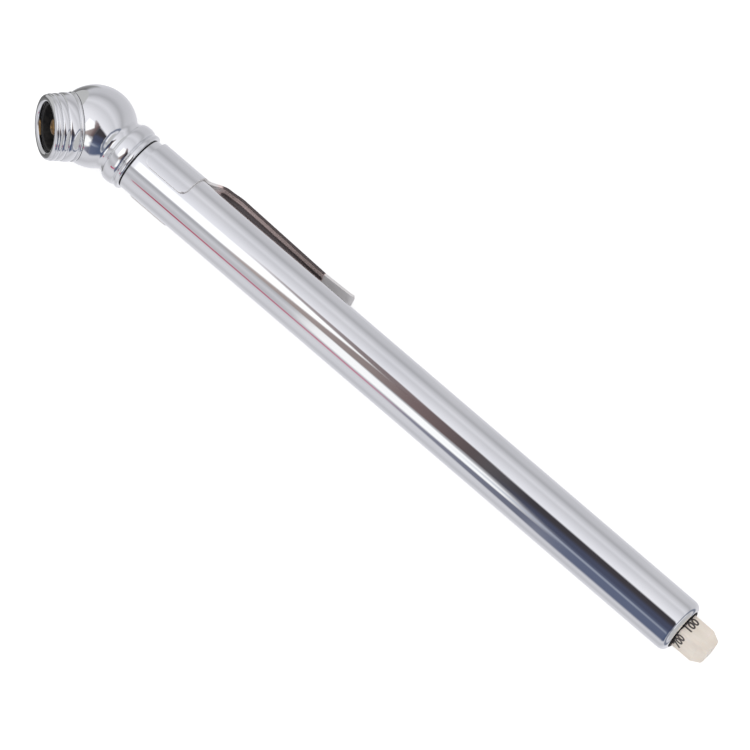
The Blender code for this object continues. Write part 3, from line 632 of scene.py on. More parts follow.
def head_outline(ball_to_seam, ball_radius, spigot_end, spigot_radius, tube_radius):
    """Ball, filleted neck, two beads at the seam, and the spigot with its O-ring groove."""
    fillet_x = math.sqrt((ball_radius + NECK_FILLET) ** 2 - (NECK_RADIUS + NECK_FILLET) ** 2)
    turn = math.degrees(math.atan2(NECK_RADIUS + NECK_FILLET, fillet_x))
    foot = tube_radius + BEAD_FOOT_PROUD
    flange = -FLANGE_TO_SEAM - FLANGE_LENGTH / 2
    groove = O_RING_GROOVE_LENGTH / 2
    face = -HEAD_FACE_TO_SEAM
    outline = arc((-ball_to_seam, 0.0), ball_radius, ball_radius, 180.0, turn, BALL_STEPS)
    outline[0] = (-ball_to_seam - ball_radius, 0.0, 0.0)
    valley = (-ball_to_seam + fillet_x, NECK_RADIUS + NECK_FILLET)
    outline += arc(valley, NECK_FILLET, NECK_FILLET, turn + 180.0, 270.0, ARC_STEPS)[1:]
    crown = tube_radius + FLANGE_PROUD - foot
    outline += arc((flange, foot), FLANGE_LENGTH / 2, crown, 180.0, 0.0, FLANGE_STEPS)
    outline.append((-FLANGE_TO_SEAM + VALLEY_SHIFT, foot - VALLEY_DEPTH, VALLEY_FILLET))
    half_ring = RIM_RING_LENGTH / 2
    crown = tube_radius + RIM_RING_PROUD - foot
    outline += arc((face - half_ring, foot), half_ring, crown, 180.0, 0.0, RIM_RING_STEPS)
    outline += [
        (face, spigot_radius, 0.0),
        (O_RING_FROM_SEAM - groove, spigot_radius, 0.0),
        (O_RING_FROM_SEAM - groove, spigot_radius - O_RING_GROOVE_DEPTH, 0.0),
        (O_RING_FROM_SEAM + groove, spigot_radius - O_RING_GROOVE_DEPTH, 0.0),
        (O_RING_FROM_SEAM + groove, spigot_radius, 0.0),
        (spigot_end, spigot_radius, SPIGOT_EDGE),
        (spigot_end, AIR_PASSAGE_RADIUS, 0.0),
        (-ball_to_seam, AIR_PASSAGE_RADIUS, 0.0),
        (-ball_to_seam, 0.0, 0.0),
    ]
    return outline


def make_head(axis, mouth, ball_to_seam, looks):
    first, last, _, _ = span("head_body", axis)
    ball_radius = -first - ball_to_seam
    _, _, _, tube_radius = span("body_tube", axis)
    spigot_radius = tube_radius - TUBE_WALL - PRESS_GAP
    outline = head_outline(ball_to_seam, ball_radius, last, spigot_radius, tube_radius)
    head = turned("ball_head", outline, axis, looks["head_chrome"])
    collar_start = span("chuck_collar", mouth)[0]
    face = collar_start - SEAT_GAP
    seat = face - CARRIER_SEAT_DEPTH
    chamber = seat - AIR_CHAMBER_DEPTH
    beyond = 2.0 * ball_radius
    cutter = turned(
        "mouth_cutter",
        [
            (-AIR_PASSAGE_RADIUS / 2, 0.0, 0.0),
            (-AIR_PASSAGE_RADIUS / 2, AIR_PASSAGE_RADIUS, 0.0),
            (chamber, AIR_PASSAGE_RADIUS, 0.0),
            (chamber, CARRIER_LEDGE_RADIUS, 0.0),
            (seat, CARRIER_LEDGE_RADIUS, 0.0),
            (seat, CARRIER_SEAT_RADIUS, 0.0),
            (face, CARRIER_SEAT_RADIUS, 0.0),
            (face, BOSS_RADIUS - BOSS_WALL, 0.0),
            (face + BOSS_HEIGHT, BOSS_RADIUS - BOSS_WALL, 0.0),
            (face + BOSS_HEIGHT, BOSS_RADIUS, 0.0),
            (face, BOSS_RADIUS, 0.0),
            (face, beyond, 0.0),
            (beyond, beyond, 0.0),
            (beyond, 0.0, 0.0),
        ],
        mouth,
    )
    carve(head, cutter)
    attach(head, "case")
    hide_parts("head_body")


def make_collar(mouth, looks):
    """Ribbed nose with a rounded lip."""
    start, end, mouth_radius, _ = span("chuck_collar", mouth)
    shoulder = start + BOSS_HEIGHT
    lip_middle = (end - LIP_THICKNESS, (mouth_radius + LIP_RADIUS) / 2)
    lip_half = (LIP_RADIUS - mouth_radius) / 2
    outline = [
        (start, BOSS_RADIUS + PRESS_GAP, 0.0),
        (shoulder, BOSS_RADIUS + PRESS_GAP, 0.0),
        (shoulder, mouth_radius, 0.0),
    ]
    outline += arc(lip_middle, LIP_THICKNESS, lip_half, -90.0, 90.0, LIP_STEPS)
    ribs = []
    place = start
    for length, foot, crown in RIBS:
        half = length / 2
        centre = (place + half, LIP_RADIUS + foot)
        ribs.append(arc(centre, half, crown - foot, 180.0, 0.0, RIB_STEPS)[1:-1])
        place += length
        ribs[-1].append((place, LIP_RADIUS + foot - GROOVE_FILLET, GROOVE_FILLET))
    ribs[-1][-1] = (place, LIP_RADIUS + LIP_VALLEY_PROUD, 2.0 * GROOVE_FILLET)
    ribs[0].insert(0, (start, ribs[0][0][1], 0.0))
    outline += [point for rib in reversed(ribs) for point in reversed(rib)]
    collar = turned("chuck_nose", outline, mouth, looks["head_chrome"])
    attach(collar, "case")
    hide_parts("chuck_collar")


def make_seal(mouth, looks):
    """Rubber cup inside the mouth."""
    base, top, hole, flange = span("valve_seal", mouth)
    sleeve = span("chuck_collar", mouth)[2] - PRESS_GAP
    bore = sleeve - SEAL_WALL
    floor = base + SEAL_FLOOR
    outline = [
        (base, hole, SEAL_OUTER_EDGE),
        (floor, hole, SEAL_INNER_EDGE),
        (floor, bore, SEAL_FLOOR_FILLET),
        (top, bore, SEAL_INNER_EDGE),
        (top, sleeve, SEAL_OUTER_EDGE),
        (floor, sleeve, 0.0),
        (floor, flange, 0.0),
        (base, flange, 0.0),
    ]
    seal = turned("rubber_seal", outline, mouth, looks["rubber"], segments=SMALL_SEGMENTS)
    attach(seal, "case")
    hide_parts("valve_seal")


def make_pin(mouth, looks):
    """Deflator pin with a domed head and a centre mark."""
    base, top, _, head_radius = span("deflator_pin", mouth)
    collar_start = span("pin_carrier", mouth)[1] + SEAT_GAP
    collar_end = collar_start + PIN_COLLAR_LENGTH
    head_start = top - PIN_HEAD_LENGTH
    dome_start = top - PIN_DOME_LENGTH
    outline = [
        (base, 0.0, 0.0),
        (base, PIN_RADIUS, PIN_FILLET),
        (collar_start, PIN_RADIUS, 0.0),
        (collar_start, PIN_COLLAR_RADIUS, PIN_COLLAR_EDGE),
        (collar_end, PIN_COLLAR_RADIUS, PIN_COLLAR_EDGE),
        (collar_end, PIN_RADIUS, PIN_COLLAR_FILLET),
        (head_start, PIN_RADIUS, PIN_FILLET),
        (head_start, head_radius, PIN_HEAD_EDGE),
        (dome_start, head_radius, PIN_DOME_EDGE),
    ]
    dome = (dome_start, 0.0)
    outline += arc(dome, PIN_DOME_LENGTH, head_radius, PIN_DOME_START, PIN_DOME_END, ARC_STEPS)
    outline.append((top - PIN_MARK_RIM, PIN_MARK_RADIUS, PIN_MARK_EDGE))
    outline.append((top - PIN_MARK_DEPTH, 0.0, 0.0))
    pin = turned("depressor_pin", outline, mouth, looks["brass"], segments=SMALL_SEGMENTS)
    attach(pin, "case")
    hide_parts("deflator_pin")


def make_gasket(axis, looks):
    """Black ring pinched in the seam between head and tube."""
    start, end, inner, outer = span("head_gasket", axis)
    outline = [
        (start, inner, 0.0),
        (end, inner, 0.0),
        (end, outer, GASKET_EDGE),
        (start, outer, GASKET_EDGE),
    ]
    gasket = turned("seam_gasket", outline, axis, looks["rubber"])
    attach(gasket, "case")
    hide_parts("head_gasket")


# ---------------------------------------------------------------- tube, guide and bar


def make_tube(axis, looks):
    """Plated tube from the gasket to its rolled-in end."""
    _, end, opening, radius = span("body_tube", axis)
    start = span("head_gasket", axis)[1]
    bore = radius - TUBE_WALL
    centre = (end - END_ROLL_LENGTH, opening)
    drop = radius - opening
    outline = [(start, bore, 0.0), (start, radius, TUBE_EDGE)]
    outline += arc(centre, END_ROLL_LENGTH, drop, 90.0, 0.0, END_ROLL_STEPS)
    outline += arc(centre, END_ROLL_LENGTH - TUBE_WALL, drop - TUBE_WALL, 0.0, 90.0, ARC_STEPS)
    tube = turned("tube", outline, axis, looks["chrome"])
    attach(tube, "case")
    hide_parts("body_tube")


def square_loop(x, half, corner, steps=CORNER_STEPS):
    """A square with rounded corners, across the axis at x."""
    reach = half - corner
    loop = []
    for quarter in range(4):
        for i in range(steps + 1):
            turn = math.pi / 2 * (quarter + i / steps)
            side = math.pi / 2 * quarter + math.pi / 4
            centre = Vector((math.cos(side), math.sin(side))) * reach * math.sqrt(2.0)
            loop.append((x, centre.x + corner * math.cos(turn), centre.y + corner * math.sin(turn)))
    return loop


def bar_half_side(axis):
    return abs(local_points("indicator_bar", axis)[:, 1]).max()


def make_guide(axis, looks):
    """Black guide in the tube's end, with a square hole for the bar."""
    start, end, _, body = span("end_bushing", axis)
    tube_end, opening = span("body_tube", axis)[1:3]
    hole = bar_half_side(axis) + BAR_GAP
    roll = tube_end - END_ROLL_LENGTH
    nose = opening - BAR_GAP
    outline = [
        (start, hole / 2, 0.0),
        (start, body, BUSHING_EDGE),
        (roll - SEAT_GAP, body, 0.0),
        (roll + (END_ROLL_LENGTH - TUBE_WALL) / 2, nose, 0.0),
        (end, nose, BUSHING_NOSE_EDGE),
        (end, hole / 2, 0.0),
    ]
    guide = turned("end_guide", outline, axis, looks["black"], segments=SMALL_SEGMENTS)
    bm = bmesh.new()
    through = (start - CUT_BEYOND, end + CUT_BEYOND)
    lofted(bm, [square_loop(x, hole, BAR_CORNER_RADIUS / 2) for x in through])
    carve(guide, make_piece("guide_cutter", bm, axis))
    pocket = start + (end - BUSHING_NOSE_PROUD - start - END_ROLL_LENGTH - LEAF_POCKET_LENGTH) / 2
    side, roof = LEAF_POCKET_WIDTH / 2, hole + LEAF_POCKET_DEPTH
    bm = bmesh.new()
    lofted(
        bm,
        [
            [(x, -side, 0.0), (x, side, 0.0), (x, side, roof), (x, -side, roof)]
            for x in (pocket, pocket + LEAF_POCKET_LENGTH)
        ],
    )
    carve(guide, make_piece("pocket_cutter", bm, axis))
    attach(guide, "case")
    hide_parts("end_bushing")


def make_bar(axis, looks):
    """Square bar with a tapered, softened tip."""
    start, end, _, _ = span("indicator_bar", axis)
    half = bar_half_side(axis)
    outline = [
        (start, half - BAR_FOOT_FLAT, 0.0),
        (start, half, BAR_FOOT_EDGE),
        (end - BAR_TIP_LENGTH, half, BAR_SHOULDER_FILLET),
        (end, half - BAR_TIP_DEPTH, BAR_TIP_EDGE),
        (end, half - BAR_TIP_DEPTH - BAR_TIP_FLAT, 0.0),
    ]
    loops = []
    for x, reach in rounded(outline, ring=False):
        corner = BAR_CORNER_RADIUS + (half - reach) * BAR_CORNER_GROWTH
        loops.append(square_loop(x, reach, corner, BAR_CORNER_STEPS))
    bm = bmesh.new()
    lofted(bm, loops)
    bar = make_piece("scale_bar", bm, axis, looks["white"])
    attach(bar, "bar")
    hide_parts("indicator_bar")
    make_print(axis, looks)


def add_numeral(bm, text, size, placed):
    """Adds a row of raised figures, centred on the frame's origin."""
    curve = bpy.data.curves.new("figures", "FONT")
    curve.body = text
    curve.size = size
    curve.align_x = "CENTER"
    curve.align_y = "CENTER"
    curve.extrude = PRINT_HEIGHT
    curve.offset = size * FIGURE_BOLDNESS
    curve.resolution_u = FIGURE_STEPS
    figures = bpy.data.objects.new("figures", curve)
    bpy.context.scene.collection.objects.link(figures)
    bpy.context.view_layer.update()
    graph = bpy.context.evaluated_depsgraph_get()
    mesh = bpy.data.meshes.new_from_object(figures.evaluated_get(graph))
    mesh.transform(placed)
    bm.from_mesh(mesh)
    bpy.data.objects.remove(figures)
    bpy.data.meshes.remove(mesh)


def add_stroke(bm, low, high, placed):
    """Adds a thin raised stroke between two corners of the frame's XY plane."""
    corners = [low, (high[0], low[1]), high, (low[0], high[1])]
    sides = [
        [bm.verts.new(placed @ Vector((x, y, z))) for x, y in corners]
        for z in (-PRINT_HEIGHT, PRINT_HEIGHT)
    ]
    bm.faces.new(sides[0][::-1])
    bm.faces.new(sides[1])
    for i in range(4):
        j = (i + 1) % 4
        bm.faces.new((sides[0][i], sides[0][j], sides[1][j], sides[1][i]))


def on_bar(x, out, half):
    """A frame on one of the bar's faces, with its Z pointing out and its Y towards the head."""
    away = Vector((-1.0, 0.0, 0.0))
    placed = Matrix((away.cross(out), away, out)).transposed().to_4x4()
    placed.translation = Vector((x, 0.0, 0.0)) + out * half
    return placed


def make_print(axis, looks):
    """Strokes and figures on the bar's two seen faces. Full scale is at the tip."""
    nose = span("end_bushing", axis)[1]
    half = bar_half_side(axis)
    edge = STROKE_FROM_EDGE - half
    bm = bmesh.new()
    for out, figure_step, stroke_step, full in SCALE_FACES:
        add_numeral(bm, str(full), TOP_FIGURE_SIZE, on_bar(nose + TOP_FIGURE_PAST_NOSE, out, half))
        for value in range(0, full, stroke_step):
            place = on_bar(nose - travel("bar_slide") * value / full, out, half)
            figured = value % figure_step == 0
            reach = LONG_STROKE if figured else SHORT_STROKE
            add_stroke(bm, (edge, -STROKE_HALF_WIDTH), (edge + reach, STROKE_HALF_WIDTH), place)
            if figured and value:
                beside = Matrix.Translation((FIGURE_OFF_MIDDLE, 0.0, 0.0))
                add_numeral(bm, str(value), FIGURE_SIZE, place @ beside)
    print_piece = make_piece("scale_print", bm, axis, looks["ink"])
    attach(print_piece, "bar")


# ---------------------------------------------------------------- clip


def clip_grid(half_round, low, high, tip, half_width):
    """The flat blank: the band's rows of (across, along), the arm's rows of (along, reach), and the first
    and last of the band's columns that run on into the arm."""
    wide = half_width + ARM_ROOT_FILLET
    quarter = [math.pi / 2 * i / CLIP_CORNER_STEPS for i in range(CLIP_CORNER_STEPS + 1)]
    edge = [half_round - BAND_CORNER_RADIUS * (1.0 - math.cos(turn)) for turn in quarter]
    trims = [BAND_CORNER_RADIUS * (1.0 - math.sin(turn)) for turn in quarter]
    side = list(np.linspace(edge[-1], wide, SIDE_COLUMNS + 2)[1:-1])
    across = [-place for place in edge + side]
    centre = list(np.linspace(-wide, wide, ARM_COLUMNS))
    across += centre + [-place for place in reversed(across)]
    trims = trims + [0.0] * (len(side) + len(centre) + len(side)) + trims[::-1]
    band = []
    for share in np.linspace(0.0, 1.0, BAND_ROWS):
        row = [(c, low + trim + (high - low - 2.0 * trim) * share) for c, trim in zip(across, trims)]
        band.append(row)
    arm = []
    for turn in quarter[1:]:
        reach = wide - ARM_ROOT_FILLET * math.sin(turn)
        arm.append((high + ARM_ROOT_FILLET * (1.0 - math.cos(turn)), reach))
    straight_end = tip - ARM_TIP_CORNER
    count = math.ceil((straight_end - arm[-1][0]) / ARM_ROW_LENGTH)
    arm += [(x, half_width) for x in np.linspace(arm[-1][0], straight_end, count + 1)[1:]]
    for turn in quarter[1:]:
        reach = half_width - ARM_TIP_CORNER * (1.0 - math.cos(turn))
        arm.append((straight_end + ARM_TIP_CORNER * math.sin(turn), reach))
    first = len(edge) + len(side)
    return band, arm, first, first + len(centre)


def arm_height(along, start, radius, tip):
    """Height of the arm's inner face over the tube's axis, and how flat the leaf is there."""
    rise = along - start
    crown = ARM_RISE_LENGTH + ARM_CROWN_LENGTH
    crease = tip - start - ARM_CREASE_FROM_TIP
    lip = tip - start - ARM_LIP_LENGTH
    if rise < ARM_RISE_LENGTH:
        ease = eased(limited(rise / ARM_RISE_LENGTH))
        return radius + ARM_SHOULDER_RISE * ease, ease
    if rise < crown:
        ease = eased((rise - ARM_RISE_LENGTH) / ARM_CROWN_LENGTH)
        return radius + ARM_SHOULDER_RISE + (ARM_PEAK_RISE - ARM_SHOULDER_RISE) * ease, 1.0
    height = np.interp(rise, (crown, crease, lip), (ARM_PEAK_RISE, ARM_CREASE_RISE, ARM_TIP_RISE))
    return radius + height + ARM_LIP_RISE * max((rise - lip) / ARM_LIP_LENGTH, 0.0) ** 2, 1.0


def plating_at(across, along, half_width, dark_reflection_end):
    """Painted reflection on the inner face, from 0, mirrored shade, to 1, mirrored light, at distances across and
    along the arm.
    """
    mirrored_shade = limited((along - DARK_REFLECTION_START) / DARK_REFLECTION_START_FADE) * limited((dark_reflection_end - along) / DARK_REFLECTION_END_FADE)
    share = abs(across) / half_width
    mirrored_light = eased(limited((share - PALE_REFLECTION_START) / PALE_REFLECTION_START_FADE))
    mirrored_light *= eased(limited((1.0 - share) / PALE_REFLECTION_END_FADE))
    return 1.0 - mirrored_shade * (1.0 - PALE_REFLECTION_LEVEL * mirrored_light)


def make_clip(clip, looks):
    """Band and arm bent from one strip of sheet."""
    low, high, radius, outer = span("clip_band", clip)
    sheet = outer - radius
    band_points = local_points("clip_band", clip)
    half_angle = abs(np.arctan2(band_points[:, 1], band_points[:, 2])).max()
    arm_points = local_points("clip_arm", clip)
    start, tip = arm_points[:, 0].min(), arm_points[:, 0].max()
    half_width = abs(arm_points[:, 1]).max()
    band, arm, first, last = clip_grid(half_angle * radius, low, high, tip, half_width)
    dark_reflection_end = tip - ARM_CREASE_FROM_TIP - start

    bm = bmesh.new()
    # Painted reflection and shade on the clip's inner face, kept as a point attribute.
    painted_reflection = bm.verts.layers.float.new("painted_reflection")

    def bent(across, along):
        height, flat = arm_height(along, start, radius, tip)
        angle = across / radius
        y = radius * math.sin(angle) * (1.0 - flat) + across * flat
        vertex = bm.verts.new((along, y, height - radius * (1.0 - math.cos(angle)) * (1.0 - flat)))
        vertex[painted_reflection] = plating_at(across, along - start, half_width, dark_reflection_end)
        return vertex

    rows = [[bent(across, along) for across, along in row] for row in band]
    leaf = [rows[-1][first:last]]
    for along, reach in arm:
        shares = np.linspace(-1.0, 1.0, last - first)
        leaf.append([bent(share * reach, along) for share in shares])
    for block in (rows, leaf):
        for near, far in zip(block, block[1:]):
            for i in range(len(near) - 1):
                bm.faces.new((near[i], near[i + 1], far[i + 1], far[i]))
    sides = (looks["chrome"], looks["clip_inner"])
    clip_piece = make_piece("pocket_clip", bm, Matrix.Identity(4), *sides, sharp=CLIP_SHARP_ANGLE)
    band_face = clip_piece.data.polygons[0]
    if band_face.normal.dot(band_face.center * Vector((0.0, 1.0, 1.0))) < 0.0:
        clip_piece.data.flip_normals()
    solid = clip_piece.modifiers.new("sheet", "SOLIDIFY")
    solid.thickness = sheet
    solid.offset = 1.0
    solid.use_even_offset = True
    # The inner face and the rim take the inner look, with its painted reflection and shade.
    solid.material_offset = 1
    solid.material_offset_rim = 1
    bevel = clip_piece.modifiers.new("edge", "BEVEL")
    bevel.width = SHEET_EDGE
    bevel.segments = 2
    bevel.limit_method = "ANGLE"
    bevel.angle_limit = math.radians(60.0)
    settled(clip_piece)
    clip_piece.data.transform(clip)
    clip_piece.data.shade_smooth()
    clip_piece.data.set_sharp_from_angle(angle=CLIP_SHARP_ANGLE)
    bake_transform(clip_piece)
    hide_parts("clip_band", "clip_arm")


# ---------------------------------------------------------------- inside


def make_spring(axis, looks):
    """Compression spring with closed end coils."""
    start, end, _, outer = span("main_spring", axis)
    mean = outer - SPRING_WIRE_RADIUS
    first, last = start + SPRING_WIRE_RADIUS, end - SPRING_WIRE_RADIUS
    open_pitch = (last - first - 2.0 * CLOSED_PITCH) / (SPRING_COILS - 2)
    loops = []
    for i in range(SPRING_COILS * STEPS_PER_COIL + 1):
        turns = i / STEPS_PER_COIL
        opened = min(max(turns - 1.0, 0.0), SPRING_COILS - 2.0)
        x = first + opened * open_pitch + (turns - opened) * CLOSED_PITCH
        angle = 2.0 * math.pi * turns
        out = Vector((0.0, math.cos(angle), math.sin(angle)))
        centre = Vector((x, 0.0, 0.0)) + out * mean
        loop = []
        for k in range(WIRE_SIDES):
            turn = 2.0 * math.pi * k / WIRE_SIDES
            offset = out * math.cos(turn) + Vector((math.sin(turn), 0.0, 0.0))
            loop.append(centre + offset * SPRING_WIRE_RADIUS)
        loops.append(loop)
    bm = bmesh.new()
    lofted(bm, loops)
    spring = make_piece("load_spring", bm, axis, looks["steel"])
    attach(spring, "case")
    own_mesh(spring)
    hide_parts("main_spring")


def dress_inner_nodes(looks):
    """Gives the CAD nodes that stay their finished surfaces."""
    dressed = {
        "brass": ("pin_carrier", "cup_retainer", "piston_screw"),
        "steel": ("seal_backing_washer", "spring_stop_washer", "spring_seat_washer", "friction_spring"),
        "rubber": ("head_o_ring", "piston_cup"),
        "red": ("piston_body",),
    }
    for look, nodes in dressed.items():
        for name in nodes:
            node = frame["nodes"][name]
            node.data.materials.clear()
            node.data.materials.append(looks[look])


# ---------------------------------------------------------------- studio


def view_directions(axis):
    """(right, up, back) of the camera, from the tube's axis frame."""
    along, across, over = (axis.col[i].xyz for i in range(3))
    square = over * math.sin(VIEW_ROUND_TUBE) - across * math.cos(VIEW_ROUND_TUBE)
    back = square * math.cos(VIEW_OFF_SQUARE) + along * math.sin(VIEW_OFF_SQUARE)
    side = square.cross(along)
    run = side.cross(back)
    right = run * math.cos(VIEW_TILT) + side * math.sin(VIEW_TILT)
    return right, back.cross(right), back


def make_camera(axis):
    right, up, back = view_directions(axis)
    aim = axis.translation + right * SEAM_TO_AIM[0] + up * SEAM_TO_AIM[1]
    data = bpy.data.cameras.new("camera")
    data.type = "PERSP"
    data.lens = VIEW_LENS
    distance = VIEW_WIDTH * VIEW_LENS / data.sensor_width
    data.clip_start, data.clip_end = distance / 100.0, distance * 10.0
    camera = bpy.data.objects.new("camera", data)
    bpy.context.scene.collection.objects.link(camera)
    turn = Matrix((right, up, back)).transposed().to_4x4()
    camera.matrix_world = Matrix.Translation(aim + back * distance) @ turn
    bpy.context.scene.camera = camera


def make_floor():
    """A plain white table top."""
    bm = bmesh.new()
    bmesh.ops.create_grid(bm, x_segments=FLOOR_CELLS, y_segments=FLOOR_CELLS, size=FLOOR_SIDE / 2)
    look = Surface("table_top", Specular_IOR_Level=0.0)
    tone = look.noise(0.4, detail=2.0)
    look.color(look.ramp(tone, (0.3, (0.79, 0.79, 0.79)), (0.7, (0.81, 0.81, 0.81))))
    look.shader.inputs["Emission Color"].default_value = (1.0, 1.0, 1.0, 1.0)
    look.shader.inputs["Emission Strength"].default_value = FLOOR_GLOW
    look.roughness(look.between(tone, 0.8, 0.9))
    floor = make_piece("table_top", bm, Matrix.Identity(4), look.material)
    floor.visible_glossy = False


def seen(level, tint=(1.0, 1.0, 1.0)):
    """Light that a card gives off to be seen in the chrome at a display level from 0 to 1."""
    return np.array([(level * share) ** DISPLAY_GAMMA / CHROME_REFLECTANCE for share in tint])


# Grey of the tent by the place across the tube's width, -1 to 1, where it is mirrored. Open fault, told in
# report.md: these are the photo's greys across the tube, sampled by a scratch script and then rounded.
TENT_LEVELS = (
    (-1.00, 0.86),
    (-0.93, 0.80),
    (-0.87, 0.74),
    (-0.78, 0.80),
    (-0.68, 0.81),
    (-0.52, 0.70),
    (-0.40, 0.78),
    (-0.27, 0.64),
    (-0.20, 0.90),
    (0.05, 0.92),
    (0.20, 0.87),
    (0.30, 0.83),
    (0.39, 0.79),
    (0.48, 0.84),
    (0.58, 0.77),
    (0.68, 0.67),
    (0.78, 0.74),
    (0.90, 0.76),
    (1.00, 0.82),
)

# A card's run along the tube (mm), its two sides across it at the run's start and end (-1 to 1), its light
# at each of them, and how soft its sides and its ends (mm) are. A later card covers an earlier one.
# Their first places and lights were chosen from the same samples, and then tuned against the photo.
Card = namedtuple("Card", "run start_sides end_sides start_light end_light side_softness end_softness")
CARDS = {
    "left_edge": Card(
        (-230.0, -60.0), (-1.10, -0.84), (-1.10, -0.90),
        seen(0.24), seen(0.50), 0.08, 24.0,
    ),
    "right_edge": Card(
        (-230.0, -84.0), (0.88, 1.10), (0.92, 1.10),
        seen(0.30), seen(0.58), 0.08, 24.0,
    ),
    "end_shade": Card(
        (244.0, 290.0), (-1.10, 1.10), (-1.10, 1.10),
        seen(0.50, (0.93, 0.97, 1.08)), seen(0.50, (0.93, 0.97, 1.08)), 0.01, 22.0,
    ),
    "head_white": Card(
        (-20.0, 72.0), (-0.22, 0.06), (-0.22, 0.06),
        seen(1.03), seen(1.0), 0.04, 9.0,
    ),
    "belly_white": Card(
        (40.0, 94.0), (-0.52, -0.27), (-0.52, -0.34),
        seen(0.96), seen(1.0), 0.06, 9.0,
    ),
    "brown_low": Card(
        (20.0, 82.0), (-0.29, -0.22), (-0.25, 0.07),
        seen(0.66, (1.0, 0.93, 0.91)), seen(0.42, (1.0, 0.88, 0.88)), 0.05, 8.0,
    ),
    "top_line": Card(
        (26.0, 66.0), (0.085, 0.125), (-0.08, 0.10),
        seen(0.68, (1.0, 0.96, 0.97)), seen(0.42, (1.0, 0.86, 0.86)), 0.04, 12.0,
    ),
    "dark_start": Card(
        (63.0, 90.0), (-0.25, 0.09), (-0.25, 0.07),
        seen(0.47, (1.0, 0.86, 0.86)), seen(0.31, (1.0, 0.93, 0.95)), 0.06, 10.0,
    ),
    "dark_run": Card(
        (86.0, 238.0), (-0.27, 0.06), (-0.33, 0.00),
        seen(0.25, (1.0, 0.96, 1.02)), seen(0.23, (1.0, 0.95, 1.02)), 0.07, 16.0,
    ),
    "navy_line": Card(
        (60.0, 104.0), (-0.60, -0.56), (-0.72, -0.50),
        seen(0.56, (0.96, 0.96, 1.05)), seen(0.40, (0.92, 0.96, 1.12)), 0.05, 16.0,
    ),
    "navy_run": Card(
        (102.0, 226.0), (-0.72, -0.22), (-0.76, -0.22),
        seen(0.42, (0.90, 0.96, 1.16)), seen(0.35, (0.84, 0.97, 1.24)), 0.09, 14.0,
    ),
    "navy_deep": Card(
        (94.0, 226.0), (-0.36, -0.16), (-0.38, -0.14),
        seen(0.31, (0.92, 0.97, 1.20)), seen(0.28, (0.90, 0.97, 1.25)), 0.16, 14.0,
    ),
    "navy_streak": Card(
        (84.0, 200.0), (-0.43, -0.39), (-0.50, -0.46),
        seen(0.74, (0.95, 0.98, 1.05)), seen(0.38, (0.88, 0.98, 1.18)), 0.08, 14.0,
    ),
    "red_line": Card(
        (-6.0, 62.0), (-0.602, -0.562), (-0.600, -0.564),
        seen(0.66, (1.0, 0.30, 0.48)), seen(0.76, (1.0, 0.62, 0.74)), 0.010, 12.0,
    ),
}


def inside(low, value, high, softness):
    """1 between low and high, and 0 outside them, with soft edges of that width."""
    rise = eased(np.clip((value - low) / softness + 0.5, 0.0, 1.0))
    return rise * eased(np.clip((high - value) / softness + 0.5, 0.0, 1.0))


def tent_light(across, along):
    """Colours of the tent for places across (-1 to 1) and along (mm) the tube where they are seen."""
    places, levels = zip(*TENT_LEVELS)
    level = np.interp(across, places, levels)
    color = seen(1.0, TENT_TINT) * level[..., None] ** DISPLAY_GAMMA
    for card in CARDS.values():
        first, last = card.run
        share = np.clip((along - first) / (last - first), 0.0, 1.0)
        low, high = (a + (b - a) * share for a, b in zip(card.start_sides, card.end_sides))
        weight = inside(low, across, high, card.side_softness)
        weight *= inside(first, along, last, card.end_softness)
        light = card.start_light + (card.end_light - card.start_light) * share[..., None]
        color += (light - color) * weight[..., None]
    return color


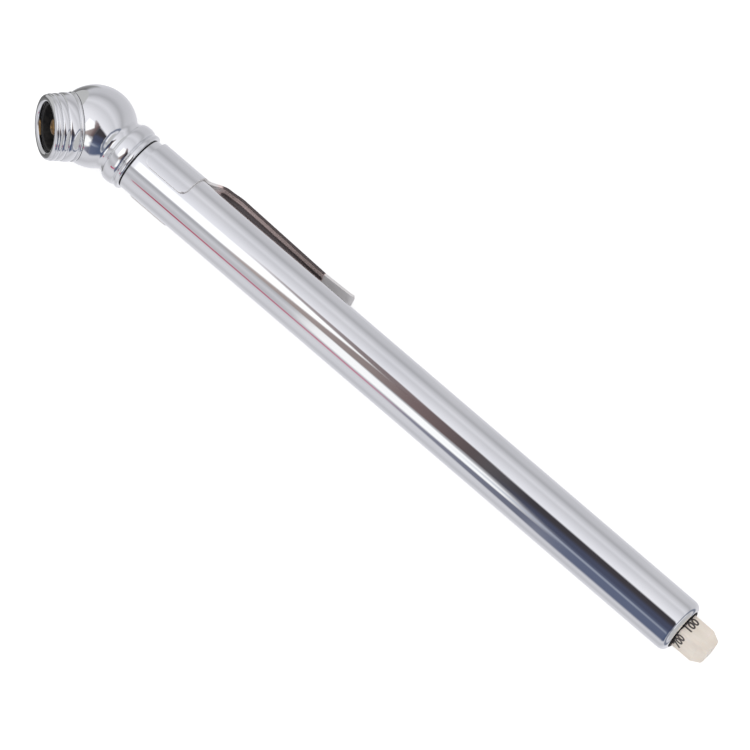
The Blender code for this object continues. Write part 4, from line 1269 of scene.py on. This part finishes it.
def make_tent(axis):
    """Light tent round the gauge. Only mirror reflections see it."""
    along = axis.col[0].xyz
    back = view_directions(axis)[2]
    back = (back - along * back.dot(along)).normalized()
    side = back.cross(along)
    bm = bmesh.new()
    layer = bm.verts.layers.float_color.new("card_light")
    grid = []
    angles = np.linspace(-math.pi, math.pi, TENT_TURNS + 1)[:-1]
    for row in range(TENT_ROWS + 1):
        x = TENT_FIRST + (TENT_LAST - TENT_FIRST) * row / TENT_ROWS
        colors = tent_light(np.sin(angles / 2), np.full(TENT_TURNS, x / MM + TENT_SHIFT))
        ring = []
        for angle, color in zip(angles, colors):
            out = back * math.cos(angle) + side * math.sin(angle)
            vertex = bm.verts.new(axis.translation + along * x + out * TENT_RADIUS)
            vertex[layer] = (*color, 1.0)
            ring.append(vertex)
        grid.append(ring)
    for near, far in zip(grid, grid[1:]):
        for i in range(TENT_TURNS):
            j = (i + 1) % TENT_TURNS
            bm.faces.new((near[i], near[j], far[j], far[i]))
    material = bpy.data.materials.new("card_light")
    material.use_nodes = True
    tree = material.node_tree
    tree.nodes.clear()
    light = tree.nodes.new("ShaderNodeAttribute")
    light.attribute_name = "card_light"
    emission = tree.nodes.new("ShaderNodeEmission")
    output = tree.nodes.new("ShaderNodeOutputMaterial")
    tree.links.new(light.outputs["Color"], emission.inputs["Color"])
    tree.links.new(emission.outputs["Emission"], output.inputs["Surface"])
    tent = make_piece("light_tent", bm, Matrix.Identity(4), material)
    for ray in ("camera", "diffuse", "transmission", "volume_scatter", "shadow"):
        setattr(tent, "visible_" + ray, False)


def make_lights():
    """An even white surround and one large soft lamp overhead."""
    world = bpy.data.worlds.new("surround")
    world.use_nodes = True
    background = world.node_tree.nodes["Background"]
    background.inputs["Color"].default_value = (1.0, 1.0, 1.0, 1.0)
    background.inputs["Strength"].default_value = SURROUND_STRENGTH
    bpy.context.scene.world = world
    data = bpy.data.lights.new("overhead_lamp", "AREA")
    data.shape = "DISK"
    data.size = LAMP_SIZE
    data.energy = LAMP_POWER
    lamp = bpy.data.objects.new("overhead_lamp", data)
    bpy.context.scene.collection.objects.link(lamp)
    lamp.location = (0.0, 0.0, LAMP_HEIGHT)
    lamp.visible_glossy = False
    bpy.context.scene.view_settings.view_transform = "Standard"


# ---------------------------------------------------------------- whole gauge


def main():
    looks = make_looks()
    axis, mouth, clip, ball_to_seam = find_frames()
    make_head(axis, mouth, ball_to_seam, looks)
    make_collar(mouth, looks)
    make_seal(mouth, looks)
    make_pin(mouth, looks)
    make_gasket(axis, looks)
    make_tube(axis, looks)
    make_guide(axis, looks)
    make_bar(axis, looks)
    make_clip(clip, looks)
    make_spring(axis, looks)
    dress_inner_nodes(looks)
    make_camera(axis)
    make_floor()
    make_tent(axis)
    make_lights()


main()
